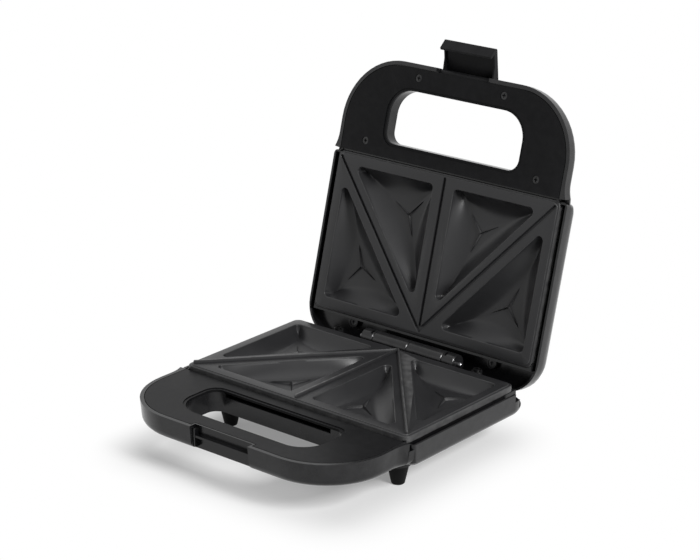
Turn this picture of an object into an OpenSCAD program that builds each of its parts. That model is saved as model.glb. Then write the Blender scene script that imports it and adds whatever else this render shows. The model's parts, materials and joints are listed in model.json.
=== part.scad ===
// Sandwich toaster with a hinged lid, shown open.
// Origin: on the table, under the middle of the open toaster's box.
// X runs to the right, Y to the back where the hinge is, and Z up.

/* [Housing outline] */
// Width of both halves over the handle
handle_w = 222.8; // [200:0.1:228]
// Distance from the plate centre to the front edge of the handle
handle_reach = 145.6; // [138:0.1:160]
// Corner radius of the handle's D shape
handle_r = 54; // [40:0.5:70]
// Width over the side lips beside the plates
zone_w = 230.8; // [227:0.1:245]
// Front end of the plate zone, measured from the plate centre
zone_front = 64.7; // [62:0.1:68]
// Rear edge of the housing, measured from the plate centre
zone_rear = 87.9; // [86:0.1:94]
// Radius of the two rear corners
rear_r = 28; // [18:0.5:40]
// Width of the small ears between the handle and the plate zone
ear_w = 228; // [223:0.1:230]

/* [Housing walls] */
// General wall of the moulded housings
wall = 2.6; // [2:0.1:3.2]
// Rim of the handle beside the inset cover
rim_wall = 3.1; // [2.4:0.1:4]
// Side lip beside the plate
lip_wall = 1.8; // [1.4:0.1:2.4]
// Drop of the side lips below the cover plane
lip_drop = 2.2; // [1:0.1:4]
// Depth of the groove between plate and lip
groove_depth = 9; // [5:0.5:12]

/* [Base] */
// Height of the base's cover plane above the table
base_plane = 48; // [44:0.5:56]
// Depth of the base's handle
base_handle_depth = 18.5; // [14:0.5:24]
// Depth of the base's pan below the cover plane
base_pan_depth = 33; // [32.5:0.5:36]
// Radius of the lower edges of the base
base_edge_r = 6; // [3:0.5:8]
// Height of the four feet
foot_h = 16; // [12:0.5:17]
// Distance between the two front feet
front_foot_span = 168; // [140:1:176]
// Distance between the two rear feet
rear_foot_span = 116; // [90:1:130]
// Place of the front feet, from the plate centre
front_foot_y = -43; // [-50:0.5:-30]
// Place of the rear feet, from the plate centre
rear_foot_y = 60; // [40:0.5:62]
// Radius of a foot where it meets the base
foot_r = 8.5; // [7:0.5:9]

/* [Lid] */
// Gap between the two cover planes when the lid is closed
cover_gap = 3.3; // [2.6:0.1:5]
// Depth of the lid's handle
lid_handle_depth = 12.5; // [12:0.5:18]
// Depth of the lid's dome
lid_dome_depth = 33; // [32:0.5:40]
// Radius of the lid's upper handle edge
lid_edge_r = 6; // [3:0.5:7]
// Angle between the closed lid and the open lid
lid_angle = 105; // [95:1:108]
// Middle of the open toaster from front to back, measured from the plate centre
box_middle = 3.33; // [2:0.01:6]

/* [Handle opening and covers] */
// Width of the clear opening in each handle
grip_w = 131.2; // [100:0.1:140]
// Front edge of the clear opening, from the plate centre
grip_front = 123.7; // [115:0.1:126]
// Rear edge of the clear opening, from the plate centre
grip_back = 79; // [77:0.1:84]
// Front corner radius of the opening
grip_front_r = 21; // [14:0.5:22]
// Rear corner radius of the opening
grip_back_r = 9.5; // [6:0.5:12]
// Thickness of the inset covers
cover_t = 2.6; // [2:0.1:3]
// Seam between a cover and the rim around it
seam = 0.6; // [0.3:0.05:1]
// Rear edge of the covers, from the plate centre
cover_back = 66.9; // [66.4:0.1:68]
// Width of the bevel round the opening of a cover
bevel = 2.3; // [1:0.1:3]
// Front cover screws beside the centre line
front_screw_x = 41.8; // [38:0.1:46]
// Front cover screws behind the handle's front edge
front_screw_in = 11; // [9:0.1:12]
// Rear cover screws beside the centre line
rear_screw_x = 84.2; // [80:0.1:88]
// Rear cover screws in front of the covers' rear edge
rear_screw_in = 10; // [8:0.1:12]

/* [Cooking plates] */
// Width of a cooking plate
plate_w = 218.6; // [208:0.1:219]
// Depth of a cooking plate from front to back
plate_d = 130.6; // [124:0.1:131]
// Corner radius of a plate
plate_r = 5; // [3:0.5:10]
// Thickness of the cast plates
plate_t = 2.4; // [2:0.1:3]
// Height of the skirt round a plate
skirt_h = 6; // [5:0.5:7]
// Height of the lower plate's rim above the base's cover plane
lower_rim_h = 3.6; // [2.8:0.1:5]
// Gap between the rims of the two plates when closed
rim_gap = 0.4; // [0.3:0.05:1]
// Depth of the sandwich pockets
pocket_depth = 10.4; // [8:0.1:13]
// Flat land between a pocket and the plate's edge
edge_land = 8.4; // [7:0.1:11]
// Flat land between a pocket and the middle line
centre_land = 10.4; // [8:0.1:12]
// Flat land between a pocket and a diagonal line
diagonal_land = 8; // [6:0.1:11]
// Slope of the pocket walls at the pocket's corners, as run over the full depth
corner_run = 2.6; // [2:0.1:5]
// Bulge of each pocket wall in the middle of its side
wall_bulge = 13; // [8:0.5:15]
// Corner radius of the pockets at the rim
pocket_r = 3.6; // [3:0.1:6]
// Width of the cutting ridges at their foot
ridge_w = 2.2; // [1.8:0.1:6]
// Height of the cutting ridges
ridge_h = 2.2; // [1.5:0.1:3]
// Clearance of the ridges in the grooves above them
ridge_gap = 0.4; // [0.3:0.05:0.9]
// Length of the arms of the raised three-armed marks
mark_len = 19.5; // [10:0.5:22]
// Height of the marks on the pocket floors
mark_h = 1.6; // [0.8:0.1:2.4]
// Distance from a mark's middle to the inner corners between its arms
mark_w = 1.6; // [1:0.1:2.4]
// Distance of the marks from the line across the middle of the plate
mark_y = 25.2; // [20:0.1:30]

/* [Hinge] */
// Hinge axis behind the plate centre
hinge_y = 77.2; // [76.6:0.1:78]
// Hinge axis below the base's cover plane
hinge_drop = 0.95; // [0.5:0.05:2]
// Radius of the hinge barrels
barrel_r = 7.8; // [6:0.1:8]
// Distance from the middle of the hinge to the outer end of a long barrel
barrel_half = 34.4; // [28:0.2:38]
// Length of each short barrel beyond the long ones
knuckle_len = 11.5; // [8:0.5:16]
// Side gap between two barrels
knuckle_gap = 0.5; // [0.3:0.05:1]
// Reach of the pin beyond the short barrels
pin_reach = 4.6; // [1:0.1:6]
// Radius of the hinge pin
pin_r = 2.5; // [2:0.1:3]
// Running clearance round a pin
pin_clear = 0.05; // [0.02:0.01:0.1]

/* [Latch] */
// Width of the latch
latch_w = 49.6; // [40:0.2:54]
// Latch pivot behind the front edge of the handle
latch_pivot_in = 3.8; // [3.4:0.1:5]
// Latch pivot above the lid's cover plane
latch_pivot_h = 7.2; // [6.6:0.1:8]
// Radius of the latch barrel
latch_barrel_r = 3.2; // [2.6:0.1:3.4]
// Radius of the latch pin
latch_pin_r = 1.5; // [1.2:0.1:1.8]
// Reach of the latch pin beyond either side of the latch
latch_pin_reach = 5.4; // [4:0.1:6]
// Thickness of the latch arm
latch_t = 2.2; // [1.6:0.1:2.8]
// Length of the latch arm below its pivot
latch_arm = 26.5; // [24:0.5:28]
// Gap between the arm and the handle's front edge
latch_gap = 1.2; // [0.6:0.1:2]
// Angle that the latch swings between raised and latched
latch_angle = 70; // [45:1:74]
// Depth of the notch that takes the latch in the base
notch_depth = 6; // [5:0.1:7]
// Width of that notch
notch_w = 57; // [56:0.5:62]

/* [Inside] */
// Radius of the sheathed heating elements
element_r = 3.2; // [2.6:0.1:3.6]
// Reach of an element to either side
element_x = 70; // [56:1:76]
// Reach of an element to the front and back
element_y = 32; // [28:1:34]
// Bend radius of an element
element_bend = 14; // [10:0.5:18]
// Thickness of the steel reflectors
reflector_t = 0.8; // [0.5:0.1:1.2]
// Space between an element and the reflector behind it
reflector_gap = 2.6; // [1.5:0.1:4]
// Radius of the thermostat disc
thermostat_r = 8; // [6:0.5:9]
// Radius of the cord's inlet
cord_r = 4; // [3:0.1:4.5]
// Cord inlet beside the centre line
cord_x = 0; // [-30:1:30]
// Radius of the small assembly screws
screw_r = 1.5; // [1.2:0.1:1.8]
// Radius of their heads
screw_head_r = 3; // [2.6:0.1:3.4]
// Height of the screw heads
screw_head_h = 1.8; // [1.2:0.1:2]
// Length of the screws that hold the base cover from below
base_cover_screw = 13; // [12.8:0.1:14.2]
// Depth of the sunk heads of those screws
screw_sink = 5; // [4:0.1:6]
// Length of the base's screws beside the hinge
base_plate_screw = 12; // [8:0.5:14]
// Length of the lid's screws
lid_screw = 9; // [7:0.5:9]
// Radius of the bosses for the cover screws and of the inner posts
boss_r = 4; // [3.5:0.1:4.5]
// Radius of the indicator lenses on the lid
lens_r = 3; // [2:0.1:3.2]
// Distance between the two lenses
lens_span = 24; // [18:1:36]

/* [Hidden] */
$fn = 96;

// Free space between parts that sit on each other
fit = 0.2;
// Free space round a screw in its thread and round a pin that is held
tight_fit = 0.02;
lid_plane = base_plane + cover_gap;
lower_rim = base_plane + lower_rim_h;
upper_rim = lower_rim + rim_gap;
hinge_z = base_plane - hinge_drop;
pan_bottom = base_plane - base_pan_depth;
groove_in = plate_w / 2 + 0.3;
groove_out = zone_w / 2 - lip_wall;
well_w = plate_w - 8;
well_d = plate_d - 8;
step_y = plate_d / 2 + 2.2;
step_depth = 16.5;
lip_end = zone_rear - rear_r;
grip_wall = 2.4;
ledge = 2.2;
divider = 2.5;
ear_y = -zone_front - divider;
neck_in = 3;

// Points of an arc from angle a0 to a1, in n steps
function arc(c, r, a0, a1, n) =
    [for (i = [0 : n]) c + r * [cos(a0 + (a1 - a0) * i / n), sin(a0 + (a1 - a0) * i / n)]];

function mirrored(points) = [for (i = [len(points) - 1 : -1 : 0]) [-points[i][0], points[i][1]]];

// Depths and insets round an edge of radius r that ends at the given depth
function round_edge(depth, inset, r, n) =
    [for (i = [0 : n]) [depth - r + r * sin(90 * i / n), inset + r * (1 - cos(90 * i / n))]];

// Outline of a handle, drawn in by d, with its flared ears and the neck behind them
function handle_side(d) = let (
        w = handle_w / 2 - d,
        flare = (ear_w - handle_w) / 2)
    concat(
        arc([handle_w / 2 - handle_r, -handle_reach + handle_r], handle_r - d, -90, 0, 14),
        [for (i = [0 : 4]) [w + flare * pow(i / 4, 2), ear_y - 12 + 12 * i / 4]],
        [[w - neck_in, ear_y + 0.6], [w - neck_in, -well_d / 2 - 1]]);
function handle_outline(d) = concat(handle_side(d), mirrored(handle_side(d)));

// Outline of the plate zone, drawn in by d
function zone_side(d) = let (
        x = zone_w / 2 - d,
        f = min(3.5 + d / 2, 16),
        r = max(rear_r - d, 10))
    concat(
        arc([x - f, -zone_front + d + f], f, -90, 0, 4),
        arc([x - r, zone_rear - d - r], r, 0, 90, 9));
function zone_outline(d) = concat(zone_side(d), mirrored(zone_side(d)));

// Outline of a plate, drawn in by d
function plate_side(d) = let (x = plate_w / 2 - d, y = plate_d / 2 - d, r = plate_r)
    concat(arc([x - r, -y + r], r, -90, 0, 5), arc([x - r, y - r], r, 0, 90, 5));
function plate_outline(d) = concat(plate_side(d), mirrored(plate_side(d)));

// Inscribed circle of a triangle: its centre and radius
function in_circle(t) = let (
        a = norm(t[1] - t[2]), b = norm(t[2] - t[0]), c = norm(t[0] - t[1]),
        area = abs(cross(t[1] - t[0], t[2] - t[0])) / 2)
    [(a * t[0] + b * t[1] + c * t[2]) / (a + b + c), 2 * area / (a + b + c)];

// Triangle t with side i drawn in by d[i]; side i runs from corner i to the next one
function inward(t, i) = let (e = t[(i + 1) % 3] - t[i]) [-e[1], e[0]] / norm(e);
function drawn_in(t, d) =
    [for (i = [0 : 2]) let (
            a = inward(t, (i + 2) % 3),
            b = inward(t, i),
            p = a * t[i] + d[(i + 2) % 3],
            q = b * t[i] + d[i])
        [p * b[1] - q * a[1], a[0] * q - b[0] * p] / cross(a, b)];

// Rim of the pocket in triangle t, grown by g
function pocket_rim(t, g) = let (
        c = in_circle(t),
        r = pocket_r + g,
        share = (c[1] + g - r) / c[1],
        corners = [for (p = t) c[0] + share * (p - c[0])])
    [for (i = [0 : 2]) let (
            before = inward(t, (i + 2) % 3),
            after = inward(t, i),
            a0 = atan2(-before[1], -before[0]),
            a1 = atan2(-after[1], -after[0]),
            next = corners[(i + 1) % 3])
        each concat(
            arc(corners[i], r, a0, a1 < a0 ? a1 + 360 : a1, 4),
            [for (k = [1 : 7]) corners[i] + k / 8 * (next - corners[i]) - r * after])];

// Way along the ray e from the middle c of triangle t, grown by g, to the wall of side i. At the
// share s of its run a wall stands s * (corner_run + 4 * wall_bulge * u * (1 - u)) inside its side,
// where u runs from 0 to 1 along it: the ray meets this parabola where k0 + k1 * x + k2 * x^2 = 0.
function wall_reach(t, i, c, g, e, s) = let (
        along = (t[(i + 1) % 3] - t[i]) / norm(t[(i + 1) % 3] - t[i]),
        l = norm(t[(i + 1) % 3] - t[i]),
        u = (c[0] - t[i]) * along / l,
        q = e * along / l,
        b = 4 * s * wall_bulge,
        k0 = c[1] + g - s * corner_run - b * u * (1 - u),
        k1 = e * inward(t, i) - b * q * (1 - 2 * u),
        k2 = b * q * q,
        d = k1 * k1 - 4 * k0 * k2)
    k1 < 0 && d >= 0 ? 2 * k0 / (sqrt(d) - k1) : plate_w;

// Level line of a pocket's wall at the share s of its run
function pocket_ring(t, g, s) = let (c = in_circle(t))
    [for (p = pocket_rim(t, g)) let (far = norm(p - c[0]), e = (p - c[0]) / far)
        c[0] + e * min(concat(
            [far * (1 - s * corner_run / c[1])],
            [for (i = [0 : 2]) wall_reach(t, i, c, g, e, s)]))];

// Solid through a list of rings; each ring is a list of [x, y] points and a height.
// With a centre given, the last ring is closed by a fan of triangles round it, and the walls,
// which then aren't made of flat four-sided faces, are split into triangles.
module loft(rings, centre = undef) {
    n = len(rings[0][0]);
    m = len(rings);
    split = !is_undef(centre);
    points = concat(
        [for (r = rings) for (p = r[0]) [p[0], p[1], r[1]]],
        split ? [[centre[0], centre[1], rings[m - 1][1]]] : []);
    sides = [for (j = [0 : m - 2]) for (i = [0 : n - 1]) let (
            k = (i + 1) % n,
            f = [j * n + i, (j + 1) * n + i, (j + 1) * n + k, j * n + k])
        each split ? [[f[0], f[1], f[2]], [f[0], f[2], f[3]]] : [f]];
    bottom = [for (i = [0 : n - 1]) i];
    last = (m - 1) * n;
    top = split ? [for (i = [0 : n - 1]) [last + (i + 1) % n, last + i, m * n]]
        : [[for (i = [n - 1 : -1 : 0]) last + i]];
    polyhedron(points, concat([bottom], sides, top), convexity = 6);
}

// A half of the housing is drawn with its cover plane at zero and its depth upwards
module in_base() {
    translate([0, 0, base_plane]) mirror([0, 0, 1]) children();
}
module in_lid() {
    translate([0, 0, lid_plane]) children();
}

// Turns what is drawn closed to the open lid's place
module open_lid() {
    translate([0, hinge_y, hinge_z]) rotate([-lid_angle, 0, 0])
        translate([0, -hinge_y, -hinge_z]) children();
}

module box(x0, x1, y0, y1, z0, z1) {
    translate([x0, y0, z0]) cube([x1 - x0, y1 - y0, z1 - z0]);
}

module round_rect(w, d, r) {
    square([w - 2 * r, d], center = true);
    square([w, d - 2 * r], center = true);
    for (x = [-1, 1], y = [-1, 1])
        translate([x * (w / 2 - r), y * (d / 2 - r)]) circle(r);
}

// Opening of a handle, grown by g
module grip_shape(g) {
    mid = -(grip_front + grip_back) / 2;
    half = (grip_front - grip_back) / 2 + g;
    w = grip_w / 2 + g;
    for (s = [-1, 1]) {
        translate([s * (w - grip_front_r - g), -grip_front + grip_front_r]) circle(grip_front_r + g);
        translate([s * (w - grip_back_r - g), -grip_back - grip_back_r]) circle(grip_back_r + g);
    }
    translate([0, mid]) square([2 * (w - grip_front_r - g), 2 * half], center = true);
    translate([-w + grip_back_r + g, mid]) square([2 * (w - grip_back_r - g), half]);
    translate([-w, -grip_front + grip_front_r])
        square([2 * w, grip_front - grip_back - grip_front_r - grip_back_r]);
}

// Flat D shape of the handle, grown by g, down to the line at the back
module handle_shape(g, back) {
    w = handle_w / 2 + g;
    r = handle_r;
    intersection() {
        union() {
            for (s = [-1, 1]) translate([s * (handle_w / 2 - r), -handle_reach + r]) circle(r + g);
            translate([-handle_w / 2 + r, -handle_reach - g]) square([handle_w - 2 * r, r]);
            translate([-w, -handle_reach + r]) square([2 * w, handle_reach]);
        }
        translate([-w, -handle_reach - g]) square([2 * w, handle_reach + g - back]);
    }
}

module handle_solid(profile) {
    loft([for (p = profile) [handle_outline(p[1]), p[0]]]);
}

module zone_solid(profile) {
    loft([for (p = profile) [zone_outline(p[1]), p[0]]]);
}

// Closes the notch behind the ears below this depth
neck_depth = 6;
module neck(profile) {
    loft([for (p = concat([[neck_depth, profile[0][1]]], [for (q = profile) if (q[0] > neck_depth) q]))
        [concat(neck_side(p[1]), mirrored(neck_side(p[1]))), p[0]]]);
}
function neck_side(d) = let (x = ear_w / 2 - d)
    [[x - 0.1, ear_y - 0.5], [x + (zone_w / 2 - ear_w / 2) / 2, -zone_front + 3.2]];

base_handle_profile = concat([[0, 0]], round_edge(base_handle_depth, 1, base_edge_r, 5));
base_pan_profile = concat(
    [[lip_drop, 0]], round_edge(base_handle_depth + 3, 1.2, base_edge_r, 4),
    [[base_pan_depth - 4, 26], [base_pan_depth - 1, 33], [base_pan_depth, 40]]);
lid_handle_profile = concat([[0, 0]], round_edge(lid_handle_depth, 0.4, lid_edge_r, 5));
lid_dome_profile = concat(
    [[lip_drop, 0], [8, 0.3]], [for (i = [1 : 5]) [8 + 18 * sin(17 * i), 0.3 + 18 * (1 - cos(17 * i))]],
    [[lid_dome_depth - 3, 28], [lid_dome_depth - 0.6, 40], [lid_dome_depth, 48]]);

// The same walls, one thickness further in
function inner(profile, from) = concat(
    [[from, profile[0][1] + wall]],
    [for (p = profile) if (p[0] > from) [p[0] - (p[0] > from + wall ? wall : 0), p[1] + wall]]);

// Space inside a handle, with the ledge that carries the cover left standing
module handle_space(depth) {
    difference() {
        union() {
            translate([0, 0, cover_t + 3]) linear_extrude(depth - wall - cover_t - 3)
                handle_shape(-rim_wall - ledge / 2, zone_front + 2 * divider);
            linear_extrude(cover_t + 4) handle_shape(-rim_wall - ledge, zone_front + 2 * divider);
        }
        translate([0, 0, -1]) linear_extrude(depth + 2) grip_shape(grip_wall);
    }
}

// Pocket in which the cover lies flush
module cover_seat() {
    translate([0, 0, -1]) linear_extrude(cover_t + 1) handle_shape(-rim_wall, plate_d / 2 + 0.2);
}

module grip_hole(depth) {
    translate([0, 0, -1]) linear_extrude(depth + 2) grip_shape(0);
}

// Space under a plate, with the wall that carries its skirt left standing
module plate_well(depth) {
    translate([0, 0, -5]) linear_extrude(depth + 5) round_rect(well_w, well_d, plate_r);
}

// Seat of the skirt: the housing's inner wall stops at this depth
module skirt_seat(rim_h) {
    translate([0, 0, -5]) linear_extrude(5 - rim_h + skirt_h)
        round_rect(plate_w + 0.6, plate_d + 0.6, plate_r);
}

module side_grooves() {
    for (s = [-1, 1]) scale([s, 1, 1])
        box(groove_in, groove_out, -zone_front + lip_wall, step_y + 1, -1, groove_depth);
}

// Posts for the screws that hold a handle cover
cover_screw_spots = [
    for (s = [-1, 1]) [s * front_screw_x, -handle_reach + front_screw_in],
    for (s = [-1, 1]) [s * rear_screw_x, -cover_back - rear_screw_in]
];
// Screws beside the hinge, one pair in each half
plate_screw_x = 70;
plate_screw_y = step_y + 2.9;
module at_plate_screws() {
    for (s = [-1, 1]) translate([s * plate_screw_x, plate_screw_y, 0]) children();
}
module at_cover_screws() {
    for (p = cover_screw_spots) translate([p[0], p[1], 0]) children();
}

feet = [
    [-front_foot_span / 2, front_foot_y], [front_foot_span / 2, front_foot_y],
    [-rear_foot_span / 2, rear_foot_y], [rear_foot_span / 2, rear_foot_y]
];
foot_stem_r = 3;
foot_stem_h = 5;
foot_boss_h = 11;
cord_z = 21.5;
cord_boss_r = 7;
cord_boss_len = 15;
cord_boss_end = 84.5;

// Spans of the base's barrels; the lid's are their mirror images, so the four interlock
base_barrels = [
    [-barrel_half, -knuckle_gap / 2],
    [barrel_half + knuckle_gap, barrel_half + knuckle_gap + knuckle_len]
];
lid_barrels = [for (b = base_barrels) [-b[1], -b[0]]];

// Barrel with chamfered ends, and a small notch beside its inner end if it is a short one.
// The web that carries it stands a little inside both ends.
barrel_edge = 0.5;
web_in = 1.2;
module barrel(span) {
    l = span[1] - span[0];
    r = barrel_r;
    c = barrel_edge;
    side = span[0] + span[1] > 0 ? 1 : -1;
    difference() {
        translate([span[0], 0, 0]) rotate([0, 90, 0])
            rotate_extrude() polygon([[0, 0], [r - c, 0], [r, c], [r, l - c], [r - c, l], [0, l]]);
        if (l < barrel_half / 2)
            translate([side * (barrel_half + knuckle_gap + 2.2), -r * 0.35, r])
                cube([2, 5, 2.6], center = true);
    }
}

// Rod along X from x0 to x1
module rod(x0, x1, r) {
    translate([x0, 0, 0]) rotate([0, 90, 0]) cylinder(r = r, h = x1 - x0);
}
module at_hinge() {
    translate([0, hinge_y, hinge_z]) children();
}

// Seat of the lower latch: its front recess and the ridge that the hook goes under
ridge_z = 8;
module base_notch() {
    difference() {
        box(-notch_w / 2, notch_w / 2, -handle_reach - 5, -handle_reach + notch_depth,
            -1, base_handle_depth + 1);
        box(-notch_w / 2, notch_w / 2, -handle_reach + notch_depth - 3.6, -handle_reach + notch_depth,
            ridge_z - 0.9, ridge_z + 0.8);
        for (x = [-notch_w / 2, -notch_w / 2 + 2.1])
            box(x, x + 1, -handle_reach + 2, -handle_reach + notch_depth, 2, base_handle_depth - 2);
    }
}
notch_rim = 1.2;

module base_shell() {
    color([0.10, 0.10, 0.11]) difference() {
        union() {
            in_base() base_housing();
            for (b = base_barrels) {
                at_hinge() barrel(b);
                box(b[0] + web_in, b[1] - web_in, step_y + 1.8, hinge_y - 0.8,
                    base_plane - step_depth - 1, hinge_z);
            }
            translate([cord_x, cord_boss_end - cord_boss_len, cord_z]) rotate([-90, 0, 0])
                cylinder(r = cord_boss_r, h = cord_boss_len);
        }
        at_hinge() rod(-zone_w / 2 + 20, zone_w / 2 - 20, pin_r + pin_clear);
        translate([cord_x, cord_boss_end - cord_boss_len - 1, cord_z]) rotate([-90, 0, 0])
            cylinder(r = cord_r, h = cord_boss_len + 2);
        for (p = feet) translate([p[0], p[1], -1]) {
            cylinder(r = foot_r + 0.8, h = foot_h + 1);
            cylinder(r = foot_stem_r + fit / 2, h = foot_h + foot_stem_h + 1.4);
        }
    }
}

module base_housing() {
    difference() {
        union() {
            difference() {
                union() {
                    handle_solid(base_handle_profile);
                    zone_solid(base_pan_profile);
                    neck(base_handle_profile);
                }
                difference() {
                    cover_seat();
                    box(-notch_w / 2 - notch_rim, notch_w / 2 + notch_rim, -handle_reach - 1,
                        -handle_reach + notch_depth + notch_rim, -2, cover_t + 1);
                }
                difference() {
                    handle_space(base_handle_depth);
                    box(-notch_w / 2 - wall, notch_w / 2 + wall, -handle_reach,
                        -handle_reach + notch_depth + wall, 0, base_handle_depth);
                }
                difference() {
                    zone_solid(inner(base_pan_profile, groove_depth + wall));
                    box(-zone_w, zone_w, step_y - wall, zone_rear + 1, 0, step_depth + wall);
                }
                plate_well(groove_depth + wall + 1);
                skirt_seat(lower_rim_h);
                side_grooves();
                box(-zone_w, zone_w, step_y, zone_rear + 1, -8, step_depth);
                for (s = [-1, 1]) scale([s, 1, 1])
                    box(groove_in, zone_w, lip_end, zone_rear, -1, groove_depth);
            }
            at_cover_screws() translate([0, 0, cover_t])
                cylinder(r = boss_r, h = base_handle_depth - cover_t - 1);
            at_plate_screws() translate([0, 0, -2]) cylinder(r = 4.5, h = step_depth + 3);
            for (p = feet) translate([p[0], p[1], base_plane - foot_h - foot_boss_h])
                cylinder(r = foot_r + 1.5, h = foot_boss_h);
            reflector_posts(lower_reflector_depth + reflector_t, base_pan_depth - wall / 2);
            in_terminal_place() translate([0, 0, terminal_h / 2 + fit / 2])
                cylinder(r = boss_r, h = base_pan_depth - wall / 2 - terminal_depth - terminal_h / 2);
        }
        grip_hole(base_handle_depth);
        base_notch();
        vent_slot();
        at_cover_screws() {
            translate([0, 0, cover_t - 1]) cylinder(r = screw_r + fit / 2, h = base_handle_depth);
            translate([0, 0, base_handle_depth - screw_sink])
                cylinder(r = screw_head_r + fit, h = screw_sink + 1);
        }
        at_plate_screws() translate([0, 0, -3]) cylinder(r = screw_r + tight_fit, h = base_plate_screw + 2);
        at_reflector_posts() translate([0, 0, lower_reflector_depth]) cylinder(r = screw_r + tight_fit, h = 9);
    }
}

// Slot that lets air in at the back of the opening, right under the cover
module vent_slot() {
    box(-grip_w / 2 + 10, grip_w / 2 - 16, -grip_back - 1, -grip_back + grip_wall + 0.6,
        cover_t, cover_t + 3.6);
}

// Cover of a handle with its opening, drawn with its face at zero
module cover_plate() {
    difference() {
        linear_extrude(cover_t) difference() {
            handle_shape(-rim_wall - seam, cover_back);
            grip_shape(-0.01);
        }
        translate([0, 0, -0.01]) grip_bevel();
    }
}

// Shallow step round the opening
module grip_bevel() {
    linear_extrude(0.7) grip_shape(bevel);
}

module base_cover() {
    color([0.16, 0.16, 0.17]) in_base() difference() {
        cover_plate();
        box(-notch_w / 2 - notch_rim - seam, notch_w / 2 + notch_rim + seam, -handle_reach - 1,
            -handle_reach + notch_depth + notch_rim + seam, -1, cover_t + 1);
        at_cover_screws() translate([0, 0, 0.9]) cylinder(r = screw_r + tight_fit, h = cover_t);
    }
}

// Triangles that a plate is divided into, for the right-hand sandwich
cell_w = plate_w / 2 - 0.9;
cell_d = plate_d / 2 - 1.7;
cells = [
    drawn_in([[0, -cell_d], [cell_w, -cell_d], [0, cell_d]], [edge_land, diagonal_land, centre_land]),
    drawn_in([[cell_w, -cell_d], [cell_w, cell_d], [0, cell_d]], [edge_land, edge_land, diagonal_land])
];

// Runs a flat outline along the line from p to q
module along(p, q) {
    d = q - p;
    translate([p[0], p[1], 0]) rotate([0, 0, atan2(d[1], d[0])]) rotate([90, 0, 90])
        linear_extrude(norm(d)) children();
}

// Lines of the cutting ridges, each drawn short of the rim, and the width of the metal behind them
ridge_backing = 7;
ridge_ends = [
    [[0, -cell_d + 1.5], [0, cell_d - 1.5]],
    [[cell_w - 3, -cell_d + 3.5], [0, cell_d]],
    [[-cell_w + 3, -cell_d + 3.5], [0, cell_d]]
];
module ridge_lines() {
    intersection() {
        for (e = ridge_ends) along(e[0], e[1]) children();
        box(-cell_w, cell_w, -cell_d + 1, cell_d - 1, -10, 20);
    }
}

// Pocket whose walls bulge inwards: after the share s of its run, a wall has passed
// 1 - (1 - s)^wall_power of the depth. g moves the whole surface outwards.
rim_round = 0.7;
wall_power = 1.7;
function pocket_fall(s) = rim_round + (pocket_depth - rim_round) * (1 - pow(1 - s, wall_power));
module pocket(cell, g) {
    mouth = pocket_rim(cell, g + rim_round);
    loft(concat(
        [[mouth, -g - 1], [mouth, 0]],
        [for (s = [0, 0.15, 0.4, 0.7, 1])
            [pocket_ring(cell, g, s), pocket_fall(s) + g * (0.5 + s / 2)]]), centre = in_circle(cell)[0]);
}

// Raised three-armed mark that points to the corners of the pocket
module mark(t) {
    middle = in_circle(t)[0];
    c = [middle[0], sign(middle[1]) * mark_y];
    tips = [for (p = t) c + (p - c) / norm(p - c) * mark_len];
    feet_low = [for (i = [0 : 2]) let (m = (tips[i] + tips[(i + 1) % 3]) / 2)
        c + (m - c) / norm(m - c) * mark_w];
    base = [for (i = [0 : 2]) each [tips[i], feet_low[i]]];
    points = concat([for (p = base) [p[0], p[1], pocket_depth + 0.4]],
        [[c[0], c[1], pocket_depth - mark_h]]);
    polyhedron(points, concat([[5, 4, 3, 2, 1, 0]], [for (i = [0 : 5]) [i, (i + 1) % 6, 6]]));
}

module both_sides() {
    children();
    mirror([1, 0, 0]) children();
}

// A cast plate with its rim at zero and its pockets upwards
module plate_casting() {
    difference() {
        union() {
            difference() {
                loft([
                    [plate_outline(1.8), 0], [plate_outline(0.6), 0.5], [plate_outline(0), 1.8],
                    [plate_outline(0), skirt_h]
                ]);
                loft([[plate_outline(plate_t), plate_t], [plate_outline(plate_t), skirt_h + 1]]);
            }
            both_sides() for (t = cells) intersection() {
                pocket(t, plate_t);
                box(-plate_w, plate_w, -plate_d, plate_d, 0.9, 40);
            }
            ridge_lines() translate([-ridge_backing / 2, plate_t - 0.2]) square([ridge_backing, ridge_h + 0.4]);
        }
        both_sides() for (t = cells) pocket(t, 0);
    }
    both_sides() for (t = cells) mark(t);
}

module lower_plate() {
    color([0.20, 0.20, 0.21]) translate([0, 0, lower_rim]) mirror([0, 0, 1]) {
        plate_casting();
        ridge_lines() polygon([
            [-ridge_w / 2, 0.6], [-ridge_w / 2, 0], [-0.5, -ridge_h], [0.5, -ridge_h],
            [ridge_w / 2, 0], [ridge_w / 2, 0.6]
        ]);
    }
}

module upper_plate() {
    groove_w = ridge_w / 2 + ridge_gap;
    groove_h = ridge_h - rim_gap + ridge_gap;
    color([0.20, 0.20, 0.21]) open_lid() translate([0, 0, upper_rim]) difference() {
        plate_casting();
        ridge_lines() polygon([
            [-groove_w, -1], [-groove_w, 0], [-1, groove_h], [1, groove_h], [groove_w, 0], [groove_w, -1]
        ]);
    }
}

// Depths below a plate's rim, counted from the cover plane of its half
pocket_back = pocket_depth + plate_t;
lower_element_depth = -lower_rim_h + pocket_back + 0.3 + element_r;
upper_element_depth = upper_rim - lid_plane + pocket_back + 0.3 + element_r;
lower_reflector_depth = lower_element_depth + element_r + reflector_gap;
upper_reflector_depth = upper_element_depth + element_r + reflector_gap;
terminal_h = 8;
terminal_depth = lower_reflector_depth + reflector_t + 1 + terminal_h / 2;
terminal_place = [-30, 36];
module in_terminal_place() {
    translate(concat(terminal_place, terminal_depth)) children();
}

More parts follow.
